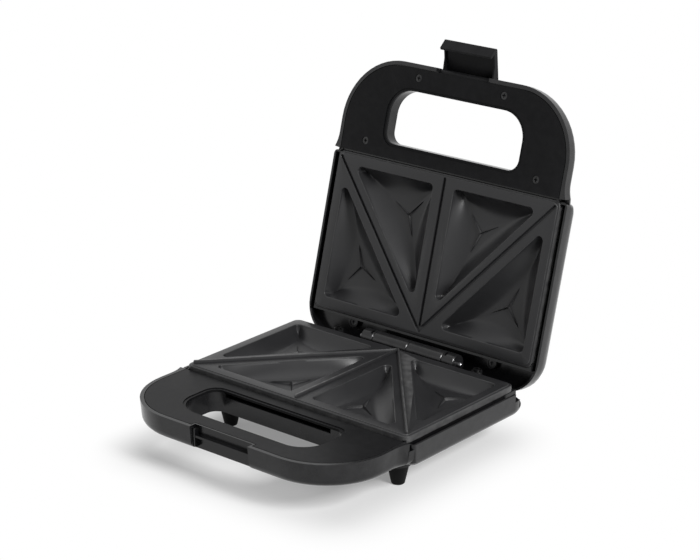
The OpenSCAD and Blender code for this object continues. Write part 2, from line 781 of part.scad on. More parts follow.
// Quarter bend about c in the quadrant that starts at angle a
module bend(c, a) {
    translate([c[0], c[1], 0]) rotate([0, 0, a]) rotate_extrude(angle = 90)
        translate([element_bend, 0]) circle(element_r, $fn = 48);
}
module stick(p, q, r) {
    d = q - p;
    translate([p[0], p[1], 0]) rotate([0, 0, atan2(d[1], d[0])]) rotate([0, 90, 0])
        cylinder(r = r, h = norm(d), $fn = 48);
}

// Sheathed element bent into a loop, with two legs that end at the back
module element() {
    x = element_x;
    y = element_y;
    b = element_bend;
    leg = 22;
    terminal_pin_r = 1.6;
    for (s = [-1, 1]) scale([s, 1, 1]) {
        stick([0, -y], [x - b, -y], element_r);
        bend([x - b, -y + b], -90);
        stick([x, -y + b], [x, y - b], element_r);
        bend([x - b, y - b], 0);
        stick([x - b, y], [leg, y], element_r);
        stick([leg + 1, y], [leg - 9, y], terminal_pin_r);
    }
}

module lower_element() {
    color([0.55, 0.54, 0.52]) in_base() translate([0, 0, lower_element_depth]) element();
}
module upper_element() {
    color([0.55, 0.54, 0.52]) open_lid() in_lid() translate([0, 0, upper_element_depth]) element();
}

post_spots = [for (x = [-46, 46], y = [-14, 22]) [x, y]];
module at_reflector_posts() {
    for (p = post_spots) translate([p[0], p[1], 0]) children();
}
module reflector_posts(from, to) {
    at_reflector_posts() translate([0, 0, from]) cylinder(r = boss_r, h = to - from);
}

// Shallow sheet pan behind the element, on four posts
reflector_w = 2 * element_x + 20;
reflector_d = 2 * element_y + 16;
reflector_y = 3;
reflector_rim = 5;
module reflector_shape(d) {
    translate([0, reflector_y]) round_rect(reflector_w - 2 * d, reflector_d - 2 * d, 12 - d);
}
module reflector() {
    difference() {
        linear_extrude(reflector_t) reflector_shape(0);
        at_reflector_posts() translate([0, 0, -1]) cylinder(r = screw_r + fit, h = 4);
    }
    difference() {
        translate([0, 0, -reflector_rim]) linear_extrude(reflector_rim + 0.2) reflector_shape(0);
        translate([0, 0, -reflector_rim - 1]) linear_extrude(reflector_rim + 2) reflector_shape(reflector_t);
    }
}

module lower_reflector() {
    color([0.72, 0.72, 0.70]) in_base() translate([0, 0, lower_reflector_depth]) reflector();
}
module upper_reflector() {
    color([0.72, 0.72, 0.70]) open_lid() in_lid() translate([0, 0, upper_reflector_depth]) reflector();
}

// Disc thermostat that is held against the bottom of a pocket
thermostat_place = [33, -15];
module thermostat() {
    top = lower_rim - pocket_back - fit;
    low = base_plane - lower_reflector_depth + 0.6;
    color([0.62, 0.60, 0.55]) translate(concat(thermostat_place, 0)) {
        translate([0, 0, low + 2]) cylinder(r = thermostat_r, h = top - low - 2);
        translate([0, 0, low]) cylinder(r = thermostat_r - 2, h = 2.2);
        box(-thermostat_r - 3, thermostat_r + 3, -2.5, 2.5, low + 2.4, low + 3.2);
    }
}

// Sleeved fuse that lies on the reflector
fuse_place = [-30, -14];
module thermal_fuse() {
    r = 2.4;
    z = base_plane - lower_reflector_depth + r + fit;
    color([0.86, 0.84, 0.76]) translate(concat(fuse_place, z)) {
        rod(-9, 9, r);
        rod(-15, 15, 0.6);
    }
}

// Ceramic block in which the cord's wires end
module terminal_block() {
    w = 26;
    d = 15;
    color([0.90, 0.88, 0.84]) in_base() in_terminal_place() difference() {
        box(-w / 2, w / 2, -d / 2, d / 2, -terminal_h / 2, terminal_h / 2);
        for (x = [-8, 0, 8]) {
            translate([x, -d / 2 - 1, 0.5]) rotate([-90, 0, 0]) cylinder(r = 1.6, h = d + 2);
            translate([x, -3.5, -terminal_h / 2 - 1]) cylinder(r = 1.4, h = terminal_h / 2 + 1);
            translate([x, 3.5, -terminal_h / 2 - 1]) cylinder(r = 1.4, h = terminal_h / 2 + 1);
        }
    }
}

// Saddle that would grip the cord behind its inlet
clamp_y = 37;
module cord_clamp() {
    w = 24;
    d = 7;
    y = clamp_y;
    floor_z = pan_bottom + wall;
    color([0.13, 0.13, 0.13]) translate([cord_x, y, floor_z + fit]) difference() {
        box(-w / 2, w / 2, 0, d, 0, 5);
        translate([0, -1, 5.5]) rotate([-90, 0, 0]) cylinder(r = cord_r - 1, h = d + 2);
    }
}

// Tapered foot with a stem that plugs into the base
module foot(i) {
    color([0.07, 0.07, 0.07]) translate([feet[i][0], feet[i][1], 0]) {
        rotate_extrude() polygon(concat(
            [[0, 0]], [for (k = [0 : 4]) [foot_r - 4.7 + 1.5 * sin(22.5 * k), 1.5 - 1.5 * cos(22.5 * k)]],
            [[foot_r, foot_h], [0, foot_h]]));
        translate([0, 0, foot_h - 0.1]) cylinder(r = foot_stem_r, h = foot_stem_h + 0.1);
    }
}
module foot_front_left() { foot(0); }
module foot_front_right() { foot(1); }
module foot_rear_left() { foot(2); }
module foot_rear_right() { foot(3); }

// Pan-head screw with a cross recess; its head is at zero and its shank points to +Z
module screw(length) {
    difference() {
        union() {
            cylinder(r = screw_head_r, h = screw_head_h);
            cylinder(r = screw_r, h = length);
        }
        for (a = [0, 90]) rotate([0, 0, a]) box(-1.7, 1.7, -0.35, 0.35, -1, 1);
    }
}

module base_cover_screws() {
    color([0.45, 0.45, 0.46]) in_base() at_cover_screws()
        translate([0, 0, base_handle_depth - screw_sink + screw_head_h])
            mirror([0, 0, 1]) screw(base_cover_screw);
}
module base_plate_screws() {
    color([0.45, 0.45, 0.46]) in_base() at_plate_screws()
        translate([0, 0, -2 - screw_head_h]) screw(base_plate_screw);
}
module lid_cover_screws() {
    color([0.45, 0.45, 0.46]) open_lid() in_lid() at_cover_screws()
        translate([0, 0, 0.5]) screw(lid_screw);
}
module lid_plate_screws() {
    color([0.45, 0.45, 0.46]) open_lid() in_lid() at_plate_screws()
        translate([0, 0, boss_face + 0.5]) screw(lid_screw);
}

// Steel pin through the barrels, with a chamfer at each end
module hinge_pin() {
    reach = barrel_half + knuckle_gap + knuckle_len + pin_reach;
    chamfer = 0.5;
    color([0.60, 0.60, 0.62]) at_hinge() rotate([0, 90, 0]) rotate_extrude() polygon([
        [0, -reach], [pin_r - chamfer, -reach], [pin_r, -reach + chamfer],
        [pin_r, reach - chamfer], [pin_r - chamfer, reach], [0, reach]
    ]);
}

recess_depth = 10.5;
boss_face = upper_rim - lid_plane + skirt_h;

module lid_shell() {
    color([0.06, 0.06, 0.065]) open_lid() difference() {
        union() {
            in_lid() lid_housing();
            at_hinge() lid_hinge_half();
        }
        at_hinge() rod(-zone_w / 2 + 20, zone_w / 2 - 20, pin_r + pin_clear);
        at_latch() latch_pin_rod(fit, tight_fit);
    }
}

// The lid's barrels with the webs that carry them
module lid_hinge_half() {
    for (b = lid_barrels) {
        rotate([lid_angle, 0, 0]) barrel(b);
        box(b[0] + web_in, b[1] - web_in, -0.5, barrel_r, 0, lid_plane + recess_depth - hinge_z + 1);
    }
}

module lid_recess() {
    intersection() {
        translate([0, 0, -1]) linear_extrude(recess_depth + 1) polygon(zone_outline(lip_wall));
        box(-zone_w, zone_w, step_y, zone_rear, -2, recess_depth);
    }
}

module lid_housing() {
    difference() {
        union() {
            difference() {
                union() {
                    handle_solid(lid_handle_profile);
                    zone_solid(lid_dome_profile);
                    neck(lid_handle_profile);
                }
                cover_seat();
                difference() {
                    handle_space(lid_handle_depth);
                    box(-latch_w / 2 - 8, latch_w / 2 + 8, -handle_reach,
                        latch_pocket_y + wall, 0, lid_handle_depth);
                }
                difference() {
                    zone_solid(inner(lid_dome_profile, groove_depth + wall));
                    box(-zone_w, zone_w, step_y - wall, zone_rear + 1, 0, recess_depth + wall);
                }
                plate_well(groove_depth + wall + 1);
                skirt_seat(lid_plane - upper_rim);
                side_grooves();
                lid_recess();
            }
            at_cover_screws() translate([0, 0, cover_t])
                cylinder(r = boss_r, h = lid_handle_depth - cover_t - 1);
            at_plate_screws() translate([0, 0, boss_face]) cylinder(r = 4.5, h = recess_depth - boss_face + 1);
            reflector_posts(upper_reflector_depth + reflector_t, lid_dome_depth - wall / 2);
        }
        grip_hole(lid_handle_depth);
        latch_pocket();
        at_cover_screws() translate([0, 0, cover_t - 1])
            cylinder(r = screw_r + tight_fit, h = lid_screw + 2 - cover_t);
        at_plate_screws() {
            translate([0, 0, boss_face - 1]) cylinder(r = screw_head_r + fit, h = 1.5 + screw_head_h);
            translate([0, 0, boss_face]) cylinder(r = screw_r + tight_fit, h = lid_screw + 1);
        }
        at_lenses() translate([0, 0, lens_foot - 1]) cylinder(r = lens_r + fit / 2, h = lid_dome_depth);
        at_reflector_posts() translate([0, 0, upper_reflector_depth]) cylinder(r = screw_r + tight_fit, h = 5);
    }
}

module lid_cover() {
    color([0.09, 0.09, 0.095]) open_lid() in_lid() difference() {
        cover_plate();
        at_cover_screws() {
            translate([0, 0, -1]) cylinder(r = screw_head_r + fit, h = 1.5 + screw_head_h);
            cylinder(r = screw_r + fit / 2, h = 5);
        }
    }
}

// Indicator lamps between the opening and the dome
lens_y = -(grip_back - grip_wall + zone_front + 2 * divider) / 2;
lens_cap = 1;
lens_foot = 7.6;
module at_lenses() {
    for (s = [-1, 1]) translate([s * lens_span / 2, lens_y, 0]) children();
}
module lens(s) {
    open_lid() in_lid() translate([s * lens_span / 2, lens_y, 0]) {
        translate([0, 0, lens_foot]) cylinder(r = lens_r, h = lid_handle_depth - lens_foot);
        translate([0, 0, lid_handle_depth]) rotate_extrude()
            polygon([[0, -0.1], [lens_r, -0.1], [lens_r, 0], [lens_r - 0.5, 0.5],
                [lens_r / 2, 0.9], [0, lens_cap]]);
    }
}
module power_lens() { color([0.75, 0.06, 0.05]) lens(-1); }
module ready_lens() { color([0.10, 0.55, 0.16]) lens(1); }

// Bracket under the lenses with a clip for each lamp
carrier_w = lens_span + 14;
carrier_d = 5.6;
carrier_h = 3.4;
lamp_r = 1.3;
carrier_top = lens_foot - fit;
module lamp_carrier() {
    color([0.85, 0.83, 0.78]) open_lid() in_lid() translate([0, lens_y, carrier_top]) difference() {
        box(-carrier_w / 2, carrier_w / 2, -carrier_d / 2, carrier_d / 2, -carrier_h, 0);
        for (s = [-1, 1]) translate([s * lens_span / 2, 0, -lamp_r - 0.2]) {
            rod(-6, 6, lamp_r + 0.05);
            box(-6, 6, -lamp_r + 0.2, lamp_r - 0.2, 0, 5);
        }
    }
}
module neon_lamps() {
    color([0.95, 0.62, 0.42]) open_lid() in_lid() for (s = [-1, 1])
        translate([s * lens_span / 2, lens_y, carrier_top - lamp_r - 0.2]) rod(-5.8, 5.8, lamp_r);
}

// The latch turns about this line at the front of the lid
module at_latch() {
    translate([0, -handle_reach + latch_pivot_in, lid_plane + latch_pivot_h]) children();
}
latch_pocket_y = -handle_reach + latch_pivot_in + latch_barrel_r + 0.6;
module latch_pocket() {
    box(-latch_w / 2 - 0.9, latch_w / 2 + 0.9, -handle_reach - 5, latch_pocket_y, -1, lid_handle_depth + 1);
}

// Cylinder of the latch pin, longer at both ends and thicker all round by free space
module latch_pin_rod(ends, around) {
    reach = latch_w / 2 + latch_pin_reach + ends;
    rod(-reach, reach, latch_pin_r + around);
}

module latch_pin() {
    color([0.60, 0.60, 0.62]) open_lid() at_latch() latch_pin_rod(0, 0);
}

// Side view of the latch as it hangs when latched, with its pivot at zero
function latch_outline() = let (
        out = -latch_pivot_in - latch_gap - latch_t,
        inn = out + latch_t,
        low = -latch_arm)
    [
        [out + 2.6, 4.6], [0.6, 3.1], [0.6, 0.4], [inn, -1.2], [inn, low + 3.4],
        [1.0, low + 6.6], [1.6, low + 4.9], [out + 2.2, low], [out + 0.6, low + 0.4], [out, low + 1.6],
        [out, 1.6], [out + 0.8, 3.6]
    ];
module latch_side() {
    rotate([90, 0, 90]) linear_extrude(latch_w, center = true) polygon(latch_outline());
}

module latch() {
    rib = 1.4;
    out = -latch_pivot_in - latch_gap - latch_t;
    color([0.05, 0.05, 0.055]) open_lid() at_latch() rotate([-latch_angle, 0, 0]) difference() {
        union() {
            latch_side();
            rod(-latch_w / 2, latch_w / 2, latch_barrel_r);
            for (s = [-1, 1]) translate([s * (latch_w / 2 - rib / 2), 0, 0]) rotate([90, 0, 90])
                linear_extrude(rib, center = true)
                    polygon([[out + 1, 1], [0, 0], [out + latch_t + 1.6, -12],
                        [out + latch_t + 1.6, -latch_arm + 4], [out + 1, -latch_arm + 2]]);
        }
        rod(-latch_w, latch_w, latch_pin_r + pin_clear);
    }
}

// Moves the middle of the open toaster's box over the origin
module placed() {
    translate([0, -box_middle, 0]) children();
}

placed() base_shell();
placed() base_cover();
placed() lower_plate();
placed() lower_element();
placed() lower_reflector();
placed() thermostat();
placed() thermal_fuse();
placed() terminal_block();
placed() cord_clamp();
placed() foot_front_left();
placed() foot_front_right();
placed() foot_rear_left();
placed() foot_rear_right();
placed() base_cover_screws();
placed() base_plate_screws();
placed() hinge_pin();
placed() lid_shell();
placed() lid_cover();
placed() upper_plate();
placed() upper_element();
placed() upper_reflector();
placed() lid_cover_screws();
placed() lid_plate_screws();
placed() lamp_carrier();
placed() neon_lamps();
placed() power_lens();
placed() ready_lens();
placed() latch_pin();
placed() latch();
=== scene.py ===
"""Sandwich toaster with a hinged lid: finishes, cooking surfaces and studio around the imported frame."""

from __future__ import annotations

import json
import logging
import math
from dataclasses import dataclass, field
from enum import Enum
from functools import cache

import bmesh
import bpy
import numpy as np
from mathutils import Matrix, Vector
from mathutils.geometry import delaunay_2d_cdt


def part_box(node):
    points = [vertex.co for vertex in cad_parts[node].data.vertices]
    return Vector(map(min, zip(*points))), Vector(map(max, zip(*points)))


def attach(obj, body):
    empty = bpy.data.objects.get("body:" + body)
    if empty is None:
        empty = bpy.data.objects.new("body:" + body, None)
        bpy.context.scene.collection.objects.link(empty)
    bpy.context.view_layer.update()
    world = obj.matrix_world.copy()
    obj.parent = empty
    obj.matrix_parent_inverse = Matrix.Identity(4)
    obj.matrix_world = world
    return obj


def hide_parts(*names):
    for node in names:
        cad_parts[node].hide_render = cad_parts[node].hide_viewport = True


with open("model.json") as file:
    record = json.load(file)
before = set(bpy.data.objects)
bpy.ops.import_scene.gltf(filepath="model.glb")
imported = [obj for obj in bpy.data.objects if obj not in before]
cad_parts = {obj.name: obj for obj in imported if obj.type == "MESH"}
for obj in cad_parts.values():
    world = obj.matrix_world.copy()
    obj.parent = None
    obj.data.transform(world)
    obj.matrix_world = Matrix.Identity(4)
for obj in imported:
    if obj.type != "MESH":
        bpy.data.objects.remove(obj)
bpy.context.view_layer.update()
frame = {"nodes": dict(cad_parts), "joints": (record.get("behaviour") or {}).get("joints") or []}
LOG = logging.getLogger("sandwich_toaster")

MM = 0.001
RIGHT_ANGLE = math.pi / 2
WHITE = (1.0, 1.0, 1.0, 1.0)
# The right and the left half of a plate
SIDES = (1, -1)
# The range that holds nearly all of a noise's values
NOISE_RANGE = (0.3, 0.7)
# Factor, both colours and result of a Mix node, whose labels repeat for other kinds of value
MIX_INPUTS = (0, 6, 7)
MIX_RESULT = 2


class Half(Enum):
    """The two halves of the toaster, by the body that each one is."""

    BASE = "base"
    LID = "lid"


class Pattern(Enum):
    """Section of the lines that divide a plate: distances from the middle and heights, in millimetres."""

    RIDGE = ((0.45, 2.2), (0.8, 1.5), (1.1, 0.0))
    GROOVE = ((1.0, -2.2), (1.42, -0.2), (1.6, 0.0))


def opened() -> Matrix:
    """Gives the turn that takes the closed lid to its open place at rest.

    Returns:
        A matrix that turns about the hinge axis by the lid's whole travel.
    """
    hinge = next(j for j in frame["joints"] if j["name"] == "lid_hinge")
    pivot = Matrix.Translation(Vector(hinge["pos_m"]))
    turn = Matrix.Rotation(-math.radians(hinge["range_deg"][1]), 4, Vector(hinge["axis"]))
    return pivot @ turn @ pivot.inverted()


class Graph:
    """Adds and links the nodes of one node tree."""

    def __init__(self, tree: bpy.types.NodeTree) -> None:
        """Keeps the tree that the nodes go into."""
        self.tree = tree

    @classmethod
    def cleared(cls, owner: bpy.types.Material | bpy.types.World) -> Graph:
        """Starts the empty graph of a material or a world.

        Args:
            owner: the material or the world.

        Returns:
            The graph of its node tree.
        """
        owner.use_nodes = True
        owner.node_tree.nodes.clear()
        return cls(owner.node_tree)

    def add(self, kind: str, **values: object) -> bpy.types.Node:
        """Adds a node and sets its properties and inputs.

        Args:
            kind: the node's type name without the ShaderNode prefix.
            **values: properties by name, or inputs by their label with _ for a space.

        Returns:
            The new node.
        """
        node = self.tree.nodes.new("ShaderNode" + kind)
        for name, value in values.items():
            label = name.replace("_", " ").title()
            if hasattr(node, name):
                setattr(node, name, value)
            elif label in node.inputs:
                node.inputs[label].default_value = value
            else:
                raise KeyError(f"{kind} has no {name}")
        return node

    def link(self, source: bpy.types.NodeSocket, target: bpy.types.NodeSocket) -> None:
        """Links one socket to another."""
        self.tree.links.new(source, target)

    def feed(self, target: bpy.types.NodeSocket, value: object) -> None:
        """Links an input to a socket, or sets it to a plain value.

        Args:
            target: the input.
            value: a socket, a number or a colour.
        """
        if isinstance(value, bpy.types.NodeSocket):
            self.link(value, target)
        else:
            target.default_value = value

    def place(self) -> bpy.types.NodeSocket:
        """Gives the place on the piece, in its own coordinates."""
        return self.add("TexCoord").outputs["Object"]

    def maths(self, operation: str, first: object, second: object) -> bpy.types.NodeSocket:
        """Adds a Math node.

        Args:
            operation: the name of the operation.
            first: first value or socket.
            second: second value or socket.

        Returns:
            The result's socket.
        """
        node = self.add("Math", operation=operation)
        self.feed(node.inputs[0], first)
        self.feed(node.inputs[1], second)
        return node.outputs[0]

    def vector(self, operation: str, source: bpy.types.NodeSocket,
               second: tuple[float, ...] = ()) -> bpy.types.NodeSocket:
        """Adds a Vector Math node.

        Args:
            operation: the name of the operation.
            source: socket of the first vector.
            second: the second vector, where the operation takes one.

        Returns:
            The result's socket.
        """
        node = self.add("VectorMath", operation=operation)
        self.link(source, node.inputs[0])
        if second:
            node.inputs[1].default_value = second
        return node.outputs["Value" if operation == "LENGTH" else "Vector"]

    def noise(self, place: bpy.types.NodeSocket, scale: object, detail: float,
              roughness: float = 0.55) -> bpy.types.NodeSocket:
        """Adds a Noise Texture.

        Args:
            place: the place that it is read at.
            scale: waves per metre, a number or a socket.
            detail: number of finer layers.
            roughness: strength of each layer against the one before it.

        Returns:
            The socket of its factor.
        """
        node = self.add("TexNoise", detail=detail, roughness=roughness)
        self.link(place, node.inputs["Vector"])
        self.feed(node.inputs["Scale"], scale)
        return node.outputs[0]

    def remap(self, source: bpy.types.NodeSocket, old: tuple[float, float], new: tuple[float, float],
              smooth: bool = False) -> bpy.types.NodeSocket:
        """Maps one range of a value onto another and holds it at the ends.

        Args:
            source: the value's socket.
            old: the range that it comes from.
            new: the range that it goes to.
            smooth: whether it eases in and out between the ends.

        Returns:
            The new value's socket.
        """
        node = self.add("MapRange", interpolation_type="SMOOTHSTEP" if smooth else "LINEAR",
                        from_min=old[0], from_max=old[1], to_min=new[0], to_max=new[1])
        self.link(source, node.inputs["Value"])
        return node.outputs["Result"]

    def spread(self, noise: bpy.types.NodeSocket, low: float, high: float) -> bpy.types.NodeSocket:
        """Stretches a noise's factor onto the range from low to high."""
        return self.remap(noise, NOISE_RANGE, (low, high))

    def mix(self, factor: object, first: object, second: object) -> bpy.types.NodeSocket:
        """Mixes two colours.

        Args:
            factor: share of the second colour.
            first: first colour or socket.
            second: second colour or socket.

        Returns:
            The mixed colour's socket.
        """
        node = self.add("Mix", data_type="RGBA")
        for number, value in zip(MIX_INPUTS, (factor, first, second)):
            self.feed(node.inputs[number], value)
        return node.outputs[MIX_RESULT]

    def group(self, tree: bpy.types.NodeTree, **values: float) -> bpy.types.Node:
        """Places a shared group and sets its inputs.

        Args:
            tree: the group.
            **values: its inputs by name.

        Returns:
            The new node.
        """
        node = self.add("Group")
        node.node_tree = tree
        for label, value in values.items():
            node.inputs[label].default_value = value
        return node

    def seen(self) -> bpy.types.NodeSocket:
        """Tells the rays that show a thing from those that light it.

        Returns:
            A socket with 1 for what the camera sees straight, mirrored or through glass, and else 0.
        """
        path = self.add("LightPath")
        seen = self.maths("MAXIMUM", path.outputs["Is Camera Ray"], path.outputs["Is Transmission Ray"])
        return self.maths("MAXIMUM", seen, path.outputs["Is Glossy Ray"])

    def show(self, output: str, factor: bpy.types.NodeSocket, lighting: bpy.types.Node,
             shown: bpy.types.Node) -> None:
        """Mixes two shaders into the tree's output.

        Args:
            output: the output node's kind.
            factor: share of the second shader.
            lighting: the first shader, which lights the scene.
            shown: the second shader, which the camera sees.
        """
        mix = self.add("MixShader")
        for target, source in zip(mix.inputs, (factor, lighting.outputs[0], shown.outputs[0])):
            self.link(source, target)
        self.link(mix.outputs[0], self.add(output).inputs["Surface"])


def new_group(name: str, inputs: dict[str, float], outputs: list[str]) -> tuple[Graph, dict, dict]:
    """Starts a shader node group with named sockets.

    Args:
        name: the group's name.
        inputs: each float input with its default value.
        outputs: the names of the float outputs.

    Returns:
        The group's graph, its input sockets and its output sockets by name.
    """
    tree = bpy.data.node_groups.new(name, "ShaderNodeTree")
    for label, value in inputs.items():
        made = tree.interface.new_socket(label, in_out="INPUT", socket_type="NodeSocketFloat")
        made.default_value = value
    for label in outputs:
        tree.interface.new_socket(label, in_out="OUTPUT", socket_type="NodeSocketFloat")
    source = tree.nodes.new("NodeGroupInput")
    sink = tree.nodes.new("NodeGroupOutput")
    return Graph(tree), {s.name: s for s in source.outputs}, {s.name: s for s in sink.inputs}


@cache
def moulded_grain() -> bpy.types.NodeTree:
    """Builds the group of fine mould texture with faint flow waves.

    Its height is a fine noise plus a coarse one times the waviness.

    Returns:
        A group with inputs Size and Waviness and outputs Height and Mottle.
    """
    graph, given, made = new_group("Moulded grain", {"Size": 900.0, "Waviness": 0.25}, ["Height", "Mottle"])
    place = graph.place()
    fine = graph.noise(place, given["Size"], detail=2.0, roughness=0.5)
    wave = graph.noise(place, scale=38.0, detail=1.0)
    graph.link(graph.maths("ADD", fine, graph.maths("MULTIPLY", wave, given["Waviness"])), made["Height"])
    graph.link(graph.noise(place, scale=21.0, detail=5.0), made["Mottle"])
    return graph.tree


@cache
def handling_marks() -> bpy.types.NodeTree:
    """Builds the group of soft smudges and short hairline scratches.

    A scratch is where a noise, stretched to long thin streaks, passes a threshold.

    Returns:
        A group with input Amount and output Marks.
    """
    scratch_above, scratch_strength = 0.71, 0.5
    graph, given, made = new_group("Handling marks", {"Amount": 0.5}, ["Marks"])
    place = graph.place()
    smudge = graph.spread(graph.noise(place, scale=27.0, detail=6.0), 0.0, 1.0)
    streaks = graph.add("Mapping", rotation=(0.4, 0.2, 0.7), scale=(40.0, 900.0, 60.0))
    graph.link(place, streaks.inputs["Vector"])
    hair = graph.maths("GREATER_THAN", graph.noise(streaks.outputs[0], scale=1.0, detail=3.0), scratch_above)
    both = graph.maths("ADD", smudge, graph.maths("MULTIPLY", hair, scratch_strength))
    graph.link(graph.maths("MULTIPLY", both, given["Amount"]), made["Marks"])
    return graph.tree


@cache
def edge_wear_and_glint() -> bpy.types.NodeTree:
    """Builds the group of rubbed edges with a painted highlight along them, read from the surface's
    convexity.

    Wear and the painted edge highlight start a little above the convexity of a flat face, which is 0.5, and a
    noise breaks them up.

    Returns:
        A group with input Strength and output Edge.
    """
    # Lighter colour on convex edges: rubbed wear, together with a painted highlight where the edges catch
    # light.
    wear_and_glint_convexity, broken_strength = (0.515, 0.56), (0.3, 1.0)
    graph, given, made = new_group("Edge wear", {"Strength": 0.5}, ["Edge"])
    convexity = graph.add("NewGeometry").outputs["Pointiness"]
    sharp = graph.remap(convexity, wear_and_glint_convexity, (0.0, 1.0))
    broken = graph.spread(graph.noise(graph.place(), scale=160.0, detail=4.0), *broken_strength)
    edge = graph.maths("MULTIPLY", sharp, broken)
    graph.link(graph.maths("MULTIPLY", edge, given["Strength"]), made["Edge"])
    return graph.tree


@dataclass(frozen=True)
class Finish:
    """A surface finish with grain, handling marks and rubbed edges that carry a painted highlight.

    The three colours are the base, its cloudy shade and the rubbed edges, whose light colour also
    serves as a painted edge highlight. The grain is in waves per metre, and the relief is its height.
    """

    name: str
    colour: tuple[float, float, float]
    shade: tuple[float, float, float]
    wear_and_glint_colour: tuple[float, float, float]
    roughness: float = 0.4
    rough_spread: float = 0.08
    metallic: float = 0.0
    coat: float = 0.0
    coat_roughness: float = 0.1
    specular: float = 0.5
    grain: float = 900.0
    waviness: float = 0.25
    relief: float = 0.02 * MM
    marks: float = 0.4
    wear_and_glint: float = 0.3
    transmission: float = 0.0

    @cache
    def material(self) -> bpy.types.Material:
        """Builds the material, once for each finish.

        Returns:
            The material of this finish.
        """
        made = bpy.data.materials.new(self.name)
        graph = Graph.cleared(made)
        shader = graph.add("BsdfPrincipled")
        graph.link(shader.outputs[0], graph.add("OutputMaterial").inputs["Surface"])
        uniform = {"Metallic": self.metallic, "Specular IOR Level": self.specular, "Coat Weight": self.coat,
                   "Coat Roughness": self.coat_roughness, "Transmission Weight": self.transmission}
        for label, value in uniform.items():
            shader.inputs[label].default_value = value
        grain = graph.group(moulded_grain(), Size=self.grain, Waviness=self.waviness)
        marks = graph.group(handling_marks(), Amount=self.marks)
        edge = graph.group(edge_wear_and_glint(), Strength=self.wear_and_glint)
        graph.link(self._colour(graph, grain, edge), shader.inputs["Base Color"])
        graph.link(self._roughness(graph, grain, marks), shader.inputs["Roughness"])
        bump = graph.add("Bump", distance=self.relief)
        graph.link(grain.outputs["Height"], bump.inputs["Height"])
        graph.link(bump.outputs[0], shader.inputs["Normal"])
        return made

    def _colour(self, graph: Graph, grain: bpy.types.Node, edge: bpy.types.Node) -> bpy.types.NodeSocket:
        """Mixes the base colour, its cloudy shade and the colour of rubbed edges, which also paints their
        highlight.

        Args:
            graph: the material's graph.
            grain: the node with the clouds.
            edge: the node with the rubbed edges and their painted highlight.

        Returns:
            The colour's socket.
        """
        clouds = graph.spread(grain.outputs["Mottle"], 0.0, 1.0)
        cloudy = graph.mix(clouds, (*self.colour, 1.0), (*self.shade, 1.0))
        # The edge colour is rubbed wear plus a painted highlight along the edges.
        return graph.mix(edge.outputs["Edge"], cloudy, (*self.wear_and_glint_colour, 1.0))

    def _roughness(self, graph: Graph, grain: bpy.types.Node, marks: bpy.types.Node) -> bpy.types.NodeSocket:
        """Varies the roughness with the cloudiness and the handling marks.

        Args:
            graph: the material's graph.
            grain: the node with the clouds.
            marks: the node with the handling marks.

        Returns:
            The roughness's socket.
        """
        low = self.roughness - self.rough_spread / 2
        base = graph.spread(grain.outputs["Mottle"], low, low + self.rough_spread)
        return graph.maths("ADD", base, graph.maths("MULTIPLY", marks.outputs["Marks"], self.rough_spread))


HOUSING = Finish("glossy black housing", (0.003, 0.003, 0.0035), (0.005, 0.005, 0.0055), (0.03, 0.03, 0.031),
                 roughness=0.20, rough_spread=0.06, specular=0.30, relief=0.004 * MM, grain=700.0,
                 marks=0.35, wear_and_glint=0.4)
COVER = Finish("satin black cover", (0.004, 0.004, 0.0045), (0.006, 0.006, 0.0065), (0.035, 0.035, 0.036),
               roughness=0.32, specular=0.06, relief=0.008 * MM, grain=1400.0, marks=0.3, wear_and_glint=0.2)
LATCH_BLACK = Finish("latch black", (0.005, 0.005, 0.0055), (0.007, 0.007, 0.0075), (0.03, 0.03, 0.032),
                     roughness=0.34, specular=0.08, relief=0.006 * MM, grain=1100.0, marks=0.3)
# Its light edge colour at high strength is mostly a painted highlight along the rims, lines and marks, over
# some real wear.
NONSTICK = Finish("non-stick coating", (0.014, 0.014, 0.015), (0.019, 0.019, 0.020), (0.13, 0.13, 0.13),
                  roughness=0.34, specular=0.30, grain=2400.0, waviness=0.6, marks=0.35, wear_and_glint=0.8)
FOOT_BLACK = Finish("foot black", (0.003, 0.003, 0.003), (0.004, 0.004, 0.004), (0.01, 0.01, 0.01),
                    roughness=0.62, specular=0.12, relief=0.03 * MM, marks=0.2)
BLACK_SCREW = Finish("blackened screw", (0.008, 0.008, 0.0085), (0.006, 0.006, 0.0065), (0.10, 0.10, 0.10),
                     roughness=0.36, metallic=1.0, relief=0.005 * MM, wear_and_glint=0.5)
ZINC = Finish("zinc screw", (0.42, 0.42, 0.43), (0.34, 0.34, 0.33), (0.6, 0.6, 0.6),
              roughness=0.35, metallic=1.0, relief=0.005 * MM, wear_and_glint=0.4)
PIN_STEEL = Finish("dark pin steel", (0.10, 0.10, 0.11), (0.07, 0.07, 0.075), (0.4, 0.4, 0.4),
                   roughness=0.3, metallic=1.0, relief=0.004 * MM, wear_and_glint=0.5)
SHEATH = Finish("heat-tinted sheath", (0.30, 0.26, 0.22), (0.18, 0.16, 0.17), (0.5, 0.48, 0.45),
                roughness=0.5, metallic=1.0)
SHEET = Finish("bright reflector sheet", (0.62, 0.62, 0.61), (0.52, 0.52, 0.50), (0.8, 0.8, 0.8),
               roughness=0.3, metallic=1.0, relief=0.01 * MM)
ALLOY = Finish("thermostat alloy", (0.55, 0.54, 0.51), (0.45, 0.44, 0.42), (0.7, 0.7, 0.7),
               roughness=0.45, metallic=1.0)
CERAMIC = Finish("cream ceramic", (0.70, 0.66, 0.57), (0.62, 0.58, 0.50), (0.8, 0.78, 0.7),
                 roughness=0.55, relief=0.04 * MM)
SLEEVE = Finish("woven sleeve", (0.68, 0.64, 0.50), (0.52, 0.48, 0.38), (0.8, 0.78, 0.7),
                roughness=0.8, relief=0.1 * MM, grain=2600.0)
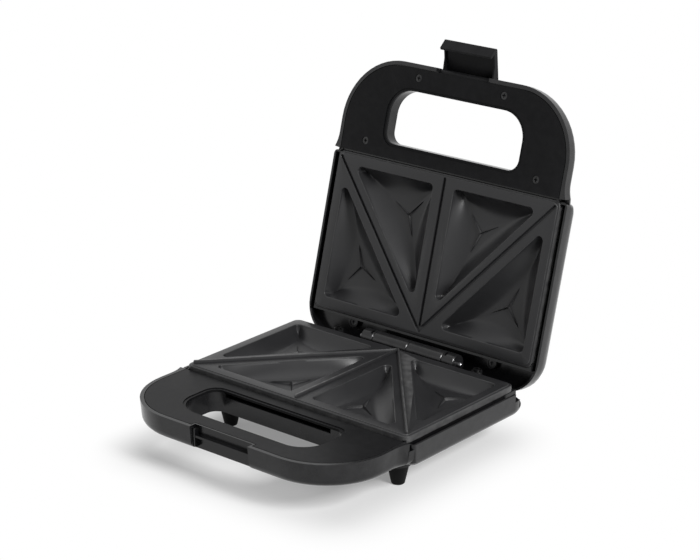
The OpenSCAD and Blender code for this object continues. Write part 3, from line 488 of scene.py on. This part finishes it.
RED_LENS = Finish("red lens", (0.42, 0.012, 0.010), (0.36, 0.010, 0.008), (0.6, 0.1, 0.1),
                  roughness=0.12, coat=0.5, relief=0.002 * MM, transmission=0.35)
GREEN_LENS = Finish("green lens", (0.012, 0.26, 0.050), (0.010, 0.22, 0.042), (0.1, 0.5, 0.2),
                    roughness=0.12, coat=0.5, relief=0.002 * MM, transmission=0.35)
LAMP_GLASS = Finish("lamp glass", (0.86, 0.55, 0.40), (0.80, 0.50, 0.36), (0.9, 0.7, 0.6),
                    roughness=0.08, relief=0.002 * MM, transmission=0.7)

NODE_FINISH: dict[str, Finish] = {
    "lower_element": SHEATH, "upper_element": SHEATH,
    "lower_reflector": SHEET, "upper_reflector": SHEET,
    "thermostat": ALLOY, "thermal_fuse": SLEEVE, "terminal_block": CERAMIC, "lamp_carrier": CERAMIC,
    "cord_clamp": FOOT_BLACK, "neon_lamps": LAMP_GLASS,
    "base_cover_screws": ZINC, "base_plate_screws": BLACK_SCREW,
    "lid_cover_screws": BLACK_SCREW, "lid_plate_screws": BLACK_SCREW,
    "hinge_pin": PIN_STEEL, "latch_pin": PIN_STEEL,
}


def add_object(name: str, data: bpy.types.ID) -> bpy.types.Object:
    """Makes an object of a mesh, a camera or a lamp, and puts it into the scene at the origin.

    Args:
        name: the object's name.
        data: what it shows.

    Returns:
        The new object.
    """
    made = bpy.data.objects.new(name, data)
    bpy.context.scene.collection.objects.link(made)
    return made


def point_at(made: bpy.types.Object, place: tuple[float, float, float], direction: Vector) -> None:
    """Puts a camera or a lamp in its place, facing a direction.

    Args:
        made: the camera or the lamp.
        place: where it stands.
        direction: where it faces.
    """
    made.location = place
    made.rotation_mode = "QUATERNION"
    made.rotation_quaternion = direction.to_track_quat("-Z", "Y")


def build_mesh(name: str, points: np.ndarray, faces: list[tuple[int, ...]]) -> bpy.types.Object:
    """Puts arrays of points and faces into a new smooth-shaded object at the origin.

    Args:
        name: the object's name.
        points: an array of n by 3 places in metres.
        faces: the point numbers of each face.

    Returns:
        The new object.
    """
    mesh = bpy.data.meshes.new(name)
    mesh.from_pydata(points.tolist(), [], faces)
    mesh.update()
    mesh.polygons.foreach_set("use_smooth", np.ones(len(mesh.polygons), bool))
    return add_object(name, mesh)


def crease_edges(work: bmesh.types.BMesh, angle: float) -> None:
    """Shades all faces smooth and marks the sharp edges.

    Args:
        work: the mesh.
        angle: degrees from which an edge is sharp.
    """
    limit = math.radians(angle)
    for face in work.faces:
        face.smooth = True
    for edge in work.edges:
        edge.smooth = edge.is_manifold and edge.calc_face_angle(math.pi) < limit


@dataclass
class SmoothCopy:
    """A copy of a moulded node whose lofted faces are shaded as the smooth surfaces they stand for.

    An edge from crease degrees on stays sharp in the shading. Where there is a bevel, faces within
    flat degrees of each other become one, and then edges above corner degrees are rounded. Large
    faces rule the shading of small ones beside them, by large_face_weight.
    """

    node: str
    body: str
    slot: str
    finish: Finish
    crease: float = 24.0
    weld: float = 0.01 * MM
    bevel: float = 0.0
    bevel_steps: int = 2
    flat: float = 1.0
    corner: float = 40.0
    large_face_weight: int = 90

    def build(self) -> bpy.types.Object:
        """Copies, welds and smooths the node, and stands in for it.

        Returns:
            The new piece.
        """
        mesh = frame["nodes"][self.node].data.copy()
        mesh.name = self.node + "_moulding"
        work = bmesh.new()
        work.from_mesh(mesh)
        bmesh.ops.remove_doubles(work, verts=work.verts, dist=self.weld)
        bmesh.ops.dissolve_degenerate(work, edges=work.edges, dist=self.weld)
        if self.bevel:
            self._round_edges(work)
        crease_edges(work, self.crease)
        work.to_mesh(mesh)
        work.free()
        made = add_object(self.node + "_moulding", mesh)
        mesh.materials.clear()
        mesh.materials.append(self.finish.material())
        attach(made, self.body)
        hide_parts(self.node)
        even = made.modifiers.new("even normals", "WEIGHTED_NORMAL")
        even.keep_sharp = True
        even.weight = self.large_face_weight
        LOG.info("%s rides on %s", made.name, self.body)
        return made

    def _round_edges(self, work: bmesh.types.BMesh) -> None:
        """Rounds every edge between flat faces by the bevel's width.

        Args:
            work: the mesh.
        """
        flat, corner = math.radians(self.flat), math.radians(self.corner)
        bmesh.ops.dissolve_limit(work, angle_limit=flat, verts=work.verts, edges=work.edges)
        sharp = [e for e in work.edges if e.is_manifold and e.calc_face_angle(0.0) > corner]
        bmesh.ops.bevel(work, geom=sharp, offset=self.bevel, offset_type="OFFSET",
                        segments=self.bevel_steps, profile=0.5, affect="EDGES", clamp_overlap=True)


def arc(centre: np.ndarray, radius: float, start: float, end: float, steps: int) -> np.ndarray:
    """Lists points on an arc: the centre plus the radius times cosine and sine of each angle.

    Args:
        centre: the arc's centre.
        radius: its radius.
        start: angle of the first point in radians.
        end: angle of the last point in radians.
        steps: number of steps between them.

    Returns:
        An array of steps + 1 points.
    """
    a = np.linspace(start, end, steps + 1)
    return centre + radius * np.stack([np.cos(a), np.sin(a)], -1)


def encloses(loop: np.ndarray, places: np.ndarray) -> np.ndarray:
    """Tells which places lie inside a closed loop: those with an odd number of its sides to their right.

    Args:
        loop: the loop's points.
        places: the places to test.

    Returns:
        True or False for each place.
    """
    a, b = loop, np.roll(loop, -1, 0)
    x, y = places[:, :1], places[:, 1:]
    spans = (a[:, 1] > y) != (b[:, 1] > y)
    rise = np.where(b[:, 1] == a[:, 1], 1.0, b[:, 1] - a[:, 1])
    crossing = a[:, 0] + (y - a[:, 1]) * (b[:, 0] - a[:, 0]) / rise
    return (np.sum(spans & (x < crossing), axis=1) % 2).astype(bool)


def fill_plane(outer: np.ndarray, holes: list[np.ndarray],
               creases: list[np.ndarray]) -> tuple[np.ndarray, np.ndarray]:
    """Fills a flat region with triangles that follow its holes and inner creases.

    Args:
        outer: the region's closed outline.
        holes: closed outlines that stay open.
        creases: closed lines inside the region that triangles mustn't cross.

    Returns:
        The points in the plane and the triangles' point numbers.
    """
    merge_mm = 1e-5
    loops = [outer, *holes, *creases]
    points, edges, start = np.concatenate(loops) / MM, [], 0
    for loop in loops:
        n = len(loop)
        edges += [(start + i, start + (i + 1) % n) for i in range(n)]
        start += n
    made = delaunay_2d_cdt([Vector(p) for p in points], edges, [], 0, merge_mm, False)
    places = np.array([tuple(v) for v in made[0]]) * MM
    faces = np.array([tuple(f) for f in made[2]])
    middles = places[faces].mean(axis=1)
    keep = encloses(outer, middles)
    for hole in holes:
        keep &= ~encloses(hole, middles)
    return places, faces[keep]


class Shell:
    """Collects patches of points and faces that are welded into one mesh."""

    def __init__(self) -> None:
        """Starts without points."""
        self.points: list[np.ndarray] = []
        self.faces: list[tuple[int, ...]] = []
        self.count = 0

    def patch(self, points: np.ndarray, faces: np.ndarray) -> None:
        """Adds a patch.

        Args:
            points: places in space.
            faces: the point numbers of each face, counted within the patch.
        """
        self.faces += [tuple(int(i) + self.count for i in f) for f in faces]
        self.points.append(points)
        self.count += len(points)

    def tube(self, rings: list[tuple[np.ndarray, float]]) -> None:
        """Joins level rings of equally many points by bands of four-sided faces.

        Args:
            rings: the points in the plane and the height of each ring.
        """
        n = len(rings[0][0])
        points = np.concatenate([np.column_stack([p, np.full(n, z)]) for p, z in rings])
        low = np.arange(n)
        band = np.stack([low, np.roll(low, -1), np.roll(low, -1) + n, low + n], -1)
        self.patch(points, np.concatenate([band + i * n for i in range(len(rings) - 1)]))

    def fan(self, ring: np.ndarray, centre: np.ndarray, z: float) -> None:
        """Closes a level ring by triangles round its centre.

        Args:
            ring: the ring's points in the plane.
            centre: where the triangles meet.
            z: their height.
        """
        n = len(ring)
        flat = np.concatenate([ring, centre[None]])
        low = np.arange(n)
        faces = np.stack([low, np.roll(low, -1), np.full(n, n)], -1)
        self.patch(np.column_stack([flat, np.full(n + 1, z)]), faces)


@dataclass
class CookingPlate:
    """A cast plate: flat lands, four pockets with bulging walls, dividing lines and marks.

    It is built as the lower plate lies, with its lands at height 0 and its middle at the origin. The
    edge_step alone is in millimetres, as insets and heights from the land outwards.
    """

    half: Half
    node: str
    pattern: Pattern
    corner: float = 5 * MM
    wall: float = 2.4 * MM
    skirt: float = 6 * MM
    skirt_chamfer: float = 0.4 * MM
    edge_step: tuple[tuple[float, float], ...] = (
        (1.9, 0.0), (1.72, -0.06), (1.58, -0.25), (1.52, -0.55), (1.38, -0.68), (0.75, -0.72))
    edge_round: float = 0.7 * MM
    edge_round_start: float = 0.3
    depth: float = 10.4 * MM
    edge_land: float = 8.4 * MM
    centre_land: float = 10.4 * MM
    diagonal_land: float = 8 * MM
    pocket_corner: float = 3.6 * MM
    corner_run: float = 2.6 * MM
    bulge: float = 13 * MM
    rim_round: float = 0.7 * MM
    lip_band: float = 0.35 * MM
    wall_power: float = 1.7
    back_lip: float = 0.3 * MM
    back_start: float = 0.05
    mark_length: float = 19.5 * MM
    mark_height: float = 2.2 * MM
    mark_width: float = 1.2 * MM
    mark_y: float = 25.2 * MM
    mark_sink: float = 0.3 * MM
    mark_ridge: float = 0.75
    mark_arm: float = 0.5
    margin: tuple[float, float] = (0.9 * MM, 1.7 * MM)
    line_stop: float = 1 * MM
    fork_stop: tuple[float, float] = (3 * MM, 3.5 * MM)
    gap: float = 0.4 * MM
    weld: float = 0.003 * MM
    crease: float = 32.0
    side_steps: int = 44
    corner_steps: int = 9
    outline_steps: int = 8
    line_end_steps: int = 6
    round_steps: int = 4
    levels: int = 15
    width: float = field(init=False)
    length: float = field(init=False)
    middle: float = field(init=False)
    rim: float = field(init=False)

    def __post_init__(self) -> None:
        """Reads the plate's size, its place and its rim's height from the frame."""
        low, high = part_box("lower_plate")
        self.width, self.length = high.x - low.x, high.y - low.y
        self.middle = (low.y + high.y) / 2
        self.rim = high.z - Pattern.RIDGE.value[0][1] * MM
        if self.half is Half.LID:
            self.rim += self.gap

    def outline(self, inset: float) -> np.ndarray:
        """Lists the plate's outline: a rectangle with a quarter circle at each corner.

        Args:
            inset: distance by which it is drawn in.

        Returns:
            The points, round from the front right corner.
        """
        w, d, r = self.width / 2 - inset, self.length / 2 - inset, self.corner
        centres = [(w - r, -d + r), (w - r, d - r), (-w + r, d - r), (-w + r, -d + r)]
        corners = []
        for i, centre in enumerate(centres):
            start = (i - 1) * RIGHT_ANGLE
            corners.append(arc(np.array(centre), r, start, start + RIGHT_ANGLE, self.outline_steps))
        return np.concatenate(corners)

    def _half_size(self) -> tuple[float, float]:
        """Gives half the width and half the length inside the margin."""
        return self.width / 2 - self.margin[0], self.length / 2 - self.margin[1]

    def cells(self) -> list[np.ndarray]:
        """Lists the corners of the two right-hand pockets, with the lands taken off.

        Returns:
            The corners of the pocket beside the middle line and of the one at the outer edge.
        """
        w, d = self._half_size()
        edge, diagonal, centre = self.edge_land, self.diagonal_land, self.centre_land
        inner = self._drawn_in([[0, -d], [w, -d], [0, d]], [edge, diagonal, centre])
        outer = self._drawn_in([[w, -d], [w, d], [0, d]], [edge, edge, diagonal])
        return [inner, outer]

    def _drawn_in(self, corners: list[list[float]], lands: list[float]) -> np.ndarray:
        """Moves the sides of a triangle inwards.

        A point of a moved side has the product inward @ point equal to inward @ corner + land, and
        each new corner solves that for the two sides that meet there.

        Args:
            corners: the triangle's corners, anticlockwise.
            lands: distance for the side that starts at each corner.

        Returns:
            The new corners.
        """
        cell = np.array(corners)
        inward = [self._inward(cell, i) for i in range(3)]
        offset = [inward[i] @ cell[i] + lands[i] for i in range(3)]
        met = [np.linalg.solve([inward[i - 1], inward[i]], [offset[i - 1], offset[i]]) for i in range(3)]
        return np.array(met)

    @staticmethod
    def _inward(cell: np.ndarray, i: int) -> np.ndarray:
        """Gives the inward normal of the side that starts at corner i."""
        e = cell[(i + 1) % 3] - cell[i]
        return np.array([-e[1], e[0]]) / np.linalg.norm(e)

    @staticmethod
    def _in_circle(cell: np.ndarray) -> tuple[np.ndarray, float]:
        """Finds a triangle's inscribed circle.

        Its centre is the mean of the corners, each weighed by the side across from it, and its
        radius is twice the area over the sum of the sides.

        Args:
            cell: the triangle's corners.

        Returns:
            The centre and the radius.
        """
        a = np.linalg.norm(np.roll(cell, -1, 0) - np.roll(cell, -2, 0), axis=1)
        (x1, y1), (x2, y2) = cell[1] - cell[0], cell[2] - cell[0]
        return (a[:, None] * cell).sum(0) / a.sum(), abs(x1 * y2 - y1 * x2) / a.sum()

    def rim_line(self, cell: np.ndarray, grow: float) -> np.ndarray:
        """Lists a pocket's rim: a triangle with round corners, as arcs and evenly divided sides.

        Args:
            cell: the pocket's corners.
            grow: distance by which it is grown.

        Returns:
            The rim's points.
        """
        centre, inner = self._in_circle(cell)
        r = self.pocket_corner + grow
        corners = centre + (inner - self.pocket_corner) / inner * (cell - centre)
        parts = []
        for i in range(3):
            before, after = self._inward(cell, i - 1), self._inward(cell, i)
            a0, a1 = math.atan2(-before[1], -before[0]), math.atan2(-after[1], -after[0])
            parts.append(arc(corners[i], r, a0, a1 if a1 > a0 else a1 + math.tau, self.corner_steps))
            along = np.linspace(0, 1, self.side_steps + 2)[1:-1, None]
            parts.append(corners[i] + along * (corners[(i + 1) % 3] - corners[i]) - r * after)
        return np.concatenate(parts)

    def level_line(self, cell: np.ndarray, grow: float, s: float) -> np.ndarray:
        """Gives the level line of a pocket's wall at the share s of its run.

        Each wall stands s * (corner_run + 4 * bulge * u * (1 - u)) inside its side, where u runs
        from 0 to 1 along it. Rays from the pocket's centre meet this parabola where
        k0 + k1 * x + b * q^2 * x^2 = 0, with q the growth of u along a ray. The nearest wall counts.

        Args:
            cell: the pocket's corners.
            grow: distance by which the pocket is grown.
            s: share of the wall's run that is passed.

        Returns:
            One point for each point of the rim.
        """
        centre, inner = self._in_circle(cell)
        ray = self.rim_line(cell, grow) - centre
        far = np.linalg.norm(ray, axis=1)
        ray /= far[:, None]
        reach = far * (1 - s * self.corner_run / inner)
        for i in range(3):
            side = cell[(i + 1) % 3] - cell[i]
            size = np.linalg.norm(side)
            u, q, b = (centre - cell[i]) @ side / size**2, ray @ side / size**2, 4 * s * self.bulge
            k0 = inner + grow - s * self.corner_run - b * u * (1 - u)
            k1 = ray @ self._inward(cell, i) - b * q * (1 - 2 * u)
            under_root = k1**2 - 4 * k0 * b * q**2
            hit = (k1 < 0) & (under_root >= 0)
            root = 2 * k0 / np.where(hit, np.sqrt(np.abs(under_root)) - k1, 1.0)
            reach = np.where(hit, np.minimum(reach, root), reach)
        return centre + ray * reach[:, None]

    def fall(self, s: float) -> float:
        """Gives the depth at the share s of a wall's run: steep at the rim and easing into the floor."""
        return self.rim_round + (self.depth - self.rim_round) * (1 - (1 - s) ** self.wall_power)

    def lines(self) -> list[tuple[np.ndarray, np.ndarray]]:
        """Lists the ends of the middle line and the two diagonals, each short of the rim.

        Returns:
            The front and the back end of each line. The three back ends meet.
        """
        w, d = self._half_size()
        groove = Pattern.GROOVE.value[-1][0] * MM
        end = d - self.line_stop - groove
        top = np.array([0.0, end])
        foot = np.array([w - self.fork_stop[0], -d + self.fork_stop[1]])
        return [(np.array([0.0, -end]), top), (foot, top), (foot * [-1, 1], top)]

    def relief(self, places: np.ndarray) -> np.ndarray:
        """Gives the height of the dividing lines, their section read at the nearest line's distance.

        Args:
            places: places in the plane.

        Returns:
            The height at each place.
        """
        nearest = np.full(len(places), np.inf)
        for a, b in self.lines():
            along = np.clip((places - a) @ (b - a) / ((b - a) @ (b - a)), 0, 1)
            nearest = np.minimum(nearest, np.linalg.norm(places - a - along[:, None] * (b - a), axis=1))
        off, height = zip(*self.pattern.value)
        return np.interp(nearest / MM, off, height) * MM

    def line_loops(self) -> list[np.ndarray]:
        """Outlines each dividing line at every distance of its section, with half circles as ends.

        Returns:
            The closed loops.
        """
        loops = []
        for a, b in self.lines():
            turn = math.atan2(*(b - a)[::-1])
            for off, _ in self.pattern.value:
                ends = [arc(b, off * MM, turn - RIGHT_ANGLE, turn + RIGHT_ANGLE, self.line_end_steps),
                        arc(a, off * MM, turn + RIGHT_ANGLE, turn + 3 * RIGHT_ANGLE, self.line_end_steps)]
                loops.append(np.concatenate(ends))
        return loops

    def pocket(self, shell: Shell, cell: np.ndarray, grow: float,
               mouth: list[tuple[float, float]]) -> np.ndarray:
        """Adds one surface of a pocket, on both halves of the plate.

        The back's wall stands half of grow below the front's at the rim and all of it at the floor.

        Args:
            shell: the shell that it goes into.
            cell: the pocket's corners.
            grow: distance of this surface outside the cooking surface.
            mouth: growths and heights of the rings above the wall.

        Returns:
            The outline of the mouth, for the plane around it.
        """
        rings = [(self.rim_line(cell, grow + g), z) for g, z in mouth]
        for s in np.linspace(self.back_start if grow else 0.0, 1, self.levels):
            rings.append((self.level_line(cell, grow, s), -self.fall(s) - grow * (0.5 + s / 2)))
        centre = self._in_circle(cell)[0]
        for side in SIDES:
            flip = np.array([side, 1])
            shell.tube([(p * flip, z) for p, z in rings])
            shell.fan(rings[-1][0] * flip, centre * flip, rings[-1][1])
        return rings[0][0]

    def mark(self, shell: Shell, cell: np.ndarray) -> None:
        """Adds the raised three-armed mark of a pocket, on both halves of the plate.

        Its base is a star sunk a little into the floor, whose arms point to the pocket's corners.
        Each arm has a ridge that starts at the share mark_ridge of its length, at the share mark_arm
        of the mark's height, and rises to the peak in the middle.

        Args:
            shell: the shell that it goes into.
            cell: the pocket's corners.
        """
        middle = self._in_circle(cell)[0]
        c = np.array([middle[0], math.copysign(self.mark_y, middle[1])])
        out = (cell - c) / np.linalg.norm(cell - c, axis=1, keepdims=True)
        tips = c + out * self.mark_length
        between = (tips + np.roll(tips, -1, 0)) / 2 - c
        feet = c + between / np.linalg.norm(between, axis=1, keepdims=True) * self.mark_width
        star = np.stack([tips, feet], 1).reshape(-1, 2)
        ridge = np.concatenate([c + out * self.mark_length * self.mark_ridge, [c]])
        heights = self.mark_height * np.array([self.mark_arm] * 3 + [1.0])
        base = np.column_stack([star, np.full(len(star), -self.depth - self.mark_sink)])
        points = np.concatenate([base, np.column_stack([ridge, heights - self.depth])])
        peak = len(points) - 1
        faces = []
        for i in range(3):
            tip, after, before, arm = 2 * i, 2 * i + 1, (2 * i - 1) % len(star), len(star) + i
            faces += [(tip, after, arm), (after, peak, arm), (before, tip, arm), (before, arm, peak)]
        for side in SIDES:
            shell.patch(points * [side, 1, 1], np.array(faces))

    def rim_profile(self) -> list[tuple[float, float]]:
        """Gives the edge's section: a rounded step, a narrow ledge and a rounded outer corner.

        Returns:
            Insets and heights, from the land outwards.
        """
        step = [(inset * MM, z * MM) for inset, z in self.edge_step]
        r, ledge = self.edge_round, step[-1][1]
        turns = np.linspace(self.edge_round_start, RIGHT_ANGLE, self.round_steps + 1)
        return step + [(r - r * math.sin(a), ledge - r + r * math.cos(a)) for a in turns]

    def skirt_profile(self) -> list[tuple[float, float]]:
        """Gives the section down the skirt from the outer corner, round its chamfers and up inside.

        Returns:
            Insets and heights, from the corner inwards.
        """
        low, cut, inside = -self.skirt, self.skirt_chamfer, self.wall
        return [(0.0, low + cut), (cut, low), (inside - cut, low), (inside, low + cut), (inside, -self.wall)]

    def build(self) -> bpy.types.Object:
        """Builds the plate as one mesh and stands in for its node.

        Returns:
            The new piece.
        """
        shell = Shell()
        r = self.rim_round
        turns = np.linspace(0, RIGHT_ANGLE, self.round_steps + 1)[:-1]
        lip = [(r + self.lip_band, 0.0), *((r * (1 - math.sin(a)), -r * (1 - math.cos(a))) for a in turns)]
        mouths, backs = [], []
        for cell in self.cells():
            mouths.append(self.pocket(shell, cell, 0.0, lip))
            backs.append(self.pocket(shell, cell, self.wall, [(self.back_lip, -self.wall)]))
            self.mark(shell, cell)
        edge = self.rim_profile()
        top, faces = fill_plane(self.outline(edge[0][0]), self._mirrored(mouths), self.line_loops())
        shell.patch(np.column_stack([top, self.relief(top)]), faces)
        under, faces = fill_plane(self.outline(self.wall), self._mirrored(backs), [])
        shell.patch(np.column_stack([under, np.full(len(under), -self.wall)]), faces)
        shell.tube([(self.outline(inset), z) for inset, z in edge + self.skirt_profile()])
        return self._place(shell)

    @staticmethod
    def _mirrored(loops: list[np.ndarray]) -> list[np.ndarray]:
        """Lists loops on the right-hand side together with their mirror images on the left."""
        return loops + [loop * np.array([-1, 1]) for loop in loops]

    def _place(self, shell: Shell) -> bpy.types.Object:
        """Welds the shell, puts it in its place and dresses it.

        Args:
            shell: the plate's patches.

        Returns:
            The new piece.
        """
        points = np.concatenate(shell.points)
        if self.half is Half.LID:
            points[:, 2] *= -1
        points += [0, self.middle, self.rim]
        if self.half is Half.LID:
            turn = np.array(opened())
            points = points @ turn[:3, :3].T + turn[:3, 3]
        made = build_mesh(self.node + "_surface", points, shell.faces)
        work = bmesh.new()
        work.from_mesh(made.data)
        bmesh.ops.remove_doubles(work, verts=work.verts, dist=self.weld)
        bmesh.ops.recalc_face_normals(work, faces=work.faces)
        crease_edges(work, self.crease)
        work.to_mesh(made.data)
        work.free()
        made.data.materials.append(NONSTICK.material())
        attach(made, self.half.value)
        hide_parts(self.node)
        LOG.info("%s has %d faces", made.name, len(made.data.polygons))
        return made


@dataclass(frozen=True)
class Lamp:
    """A soft rectangular lamp, with its place and size in metres and its power in watts."""

    name: str
    place: tuple[float, float, float]
    size: tuple[float, float]
    power: float

    def hang(self, target: Vector) -> None:
        """Hangs the lamp so that it faces a target.

        Args:
            target: the place that it faces.
        """
        data = bpy.data.lights.new(self.name, "AREA")
        data.shape = "RECTANGLE"
        data.size, data.size_y = self.size
        data.energy = self.power
        point_at(add_object(self.name, data), self.place, target - Vector(self.place))


@dataclass
class Studio:
    """Camera, lamps, floor and white surroundings.

    The camera stands at centre and looks along azimuth and elevation, in degrees, with lens and
    sensor in millimetres. The floor has the share shadow_lift of white within shadow_half of
    shadow_centre, and turns all white over the distances of shadow_fade beyond that.
    """

    azimuth: float = 40.03
    elevation: float = 19.72
    centre: tuple[float, float, float] = (0.9990, -1.19063, 0.6838)
    lens: float = 112.28
    sensor: float = 36.0
    clip: tuple[float, float] = (0.05, 50.0)
    lamps: tuple[Lamp, ...] = (
        Lamp("key", (1.60, -0.30, 1.15), (0.5, 0.5), 38.0),
        Lamp("fill", (-1.6, -0.9, 0.7), (1.4, 1.0), 2.5),
        Lamp("top", (-0.2, 0.3, 1.9), (1.6, 1.2), 6.0),
    )
    lamp_target: tuple[float, float, float] = (0.0, 0.02, 0.08)
    surround_light: float = 0.24
    surround_seen: float = 1.0
    floor_colour: tuple[float, float, float] = (0.86, 0.86, 0.86)
    floor_size: float = 12.0
    shadow_centre: tuple[float, float, float] = (0.0, -0.03, 0.0)
    shadow_half: tuple[float, float, float] = (0.085, 0.085, 1.0)
    shadow_fade: tuple[float, float] = (0.0, 0.065)
    shadow_lift: float = 0.25

    def camera(self) -> None:
        """Sets the camera at the photograph's viewing angle."""
        data = bpy.data.cameras.new("camera")
        data.lens = self.lens
        data.sensor_width = self.sensor
        data.clip_start, data.clip_end = self.clip
        made = add_object("camera", data)
        a, e = math.radians(self.azimuth), math.radians(self.elevation)
        back = Vector((math.sin(a) * math.cos(e), -math.cos(a) * math.cos(e), math.sin(e)))
        point_at(made, self.centre, -back)
        bpy.context.scene.camera = made

    def world(self) -> None:
        """Surrounds the scene with an even dim light that the camera sees as white."""
        world = bpy.data.worlds.new("studio")
        bpy.context.scene.world = world
        graph = Graph.cleared(world)
        soft = graph.add("Background", strength=self.surround_light)
        white = graph.add("Background", strength=self.surround_seen)
        for background in (soft, white):
            background.inputs["Color"].default_value = WHITE
        graph.show("OutputWorld", graph.seen(), soft, white)

    def floor(self) -> None:
        """Lays a pale floor that keeps the shadow and fades to white away from the toaster."""
        h = self.floor_size / 2
        points = np.array([[-h, -h, 0], [h, -h, 0], [h, h, 0], [-h, h, 0]], float)
        made = build_mesh("floor", points, [(0, 1, 2, 3)])
        made.data.materials.append(self.floor_material())

    def floor_material(self) -> bpy.types.Material:
        """Builds the floor's material: matt near the toaster, white to the camera far from it.

        The distance beyond the shadow's box is the length of max(|place - centre| - half, 0).

        Returns:
            The floor's material.
        """
        made = bpy.data.materials.new("pale floor")
        graph = Graph.cleared(made)
        aside = graph.vector("SUBTRACT", graph.place(), self.shadow_centre)
        aside = graph.vector("SUBTRACT", graph.vector("ABSOLUTE", aside), self.shadow_half)
        far = graph.vector("LENGTH", graph.vector("MAXIMUM", aside, (0.0, 0.0, 0.0)))
        fade = graph.remap(far, self.shadow_fade, (self.shadow_lift, 1.0), smooth=True)
        matt = graph.add("BsdfDiffuse")
        matt.inputs["Color"].default_value = (*self.floor_colour, 1.0)
        graph.show("OutputMaterial", graph.maths("MULTIPLY", fade, graph.seen()), matt, graph.add("Emission"))
        return made

    def build(self) -> None:
        """Builds the whole studio."""
        self.camera()
        self.world()
        self.floor()
        for lamp in self.lamps:
            lamp.hang(Vector(self.lamp_target))
        bpy.context.scene.view_settings.view_transform = "Standard"


@dataclass
class Toaster:
    """The whole toaster: every node of the frame gets its piece or its finish."""

    mouldings: tuple[SmoothCopy, ...] = (
        SmoothCopy("base_shell", "base", "housing_gloss", HOUSING),
        SmoothCopy("base_cover", "base", "cover_satin", COVER, bevel=0.25 * MM),
        SmoothCopy("lid_shell", "lid", "housing_gloss", HOUSING),
        SmoothCopy("lid_cover", "lid", "cover_matte", COVER, bevel=0.25 * MM),
        SmoothCopy("latch", "latch", "latch_plastic", LATCH_BLACK),
        *(SmoothCopy("foot_" + place, "base", "foot_rubber", FOOT_BLACK)
          for place in ("front_left", "front_right", "rear_left", "rear_right")),
        SmoothCopy("power_lens", "lid", "red_lens", RED_LENS),
        SmoothCopy("ready_lens", "lid", "green_lens", GREEN_LENS),
    )

    def build(self) -> None:
        """Builds the mouldings and plates, and dresses the nodes that stay."""
        for moulding in self.mouldings:
            moulding.build()
        CookingPlate(Half.BASE, "lower_plate", Pattern.RIDGE).build()
        CookingPlate(Half.LID, "upper_plate", Pattern.GROOVE).build()
        for name, finish in NODE_FINISH.items():
            node = frame["nodes"][name]
            node.data.materials.clear()
            node.data.materials.append(finish.material())
            LOG.info("%s is dressed in %s", name, finish.name)


def main() -> None:
    """Builds the studio and the toaster."""
    logging.basicConfig(level=logging.INFO)
    Studio().build()
    Toaster().build()


if __name__ == "__main__":
    main()
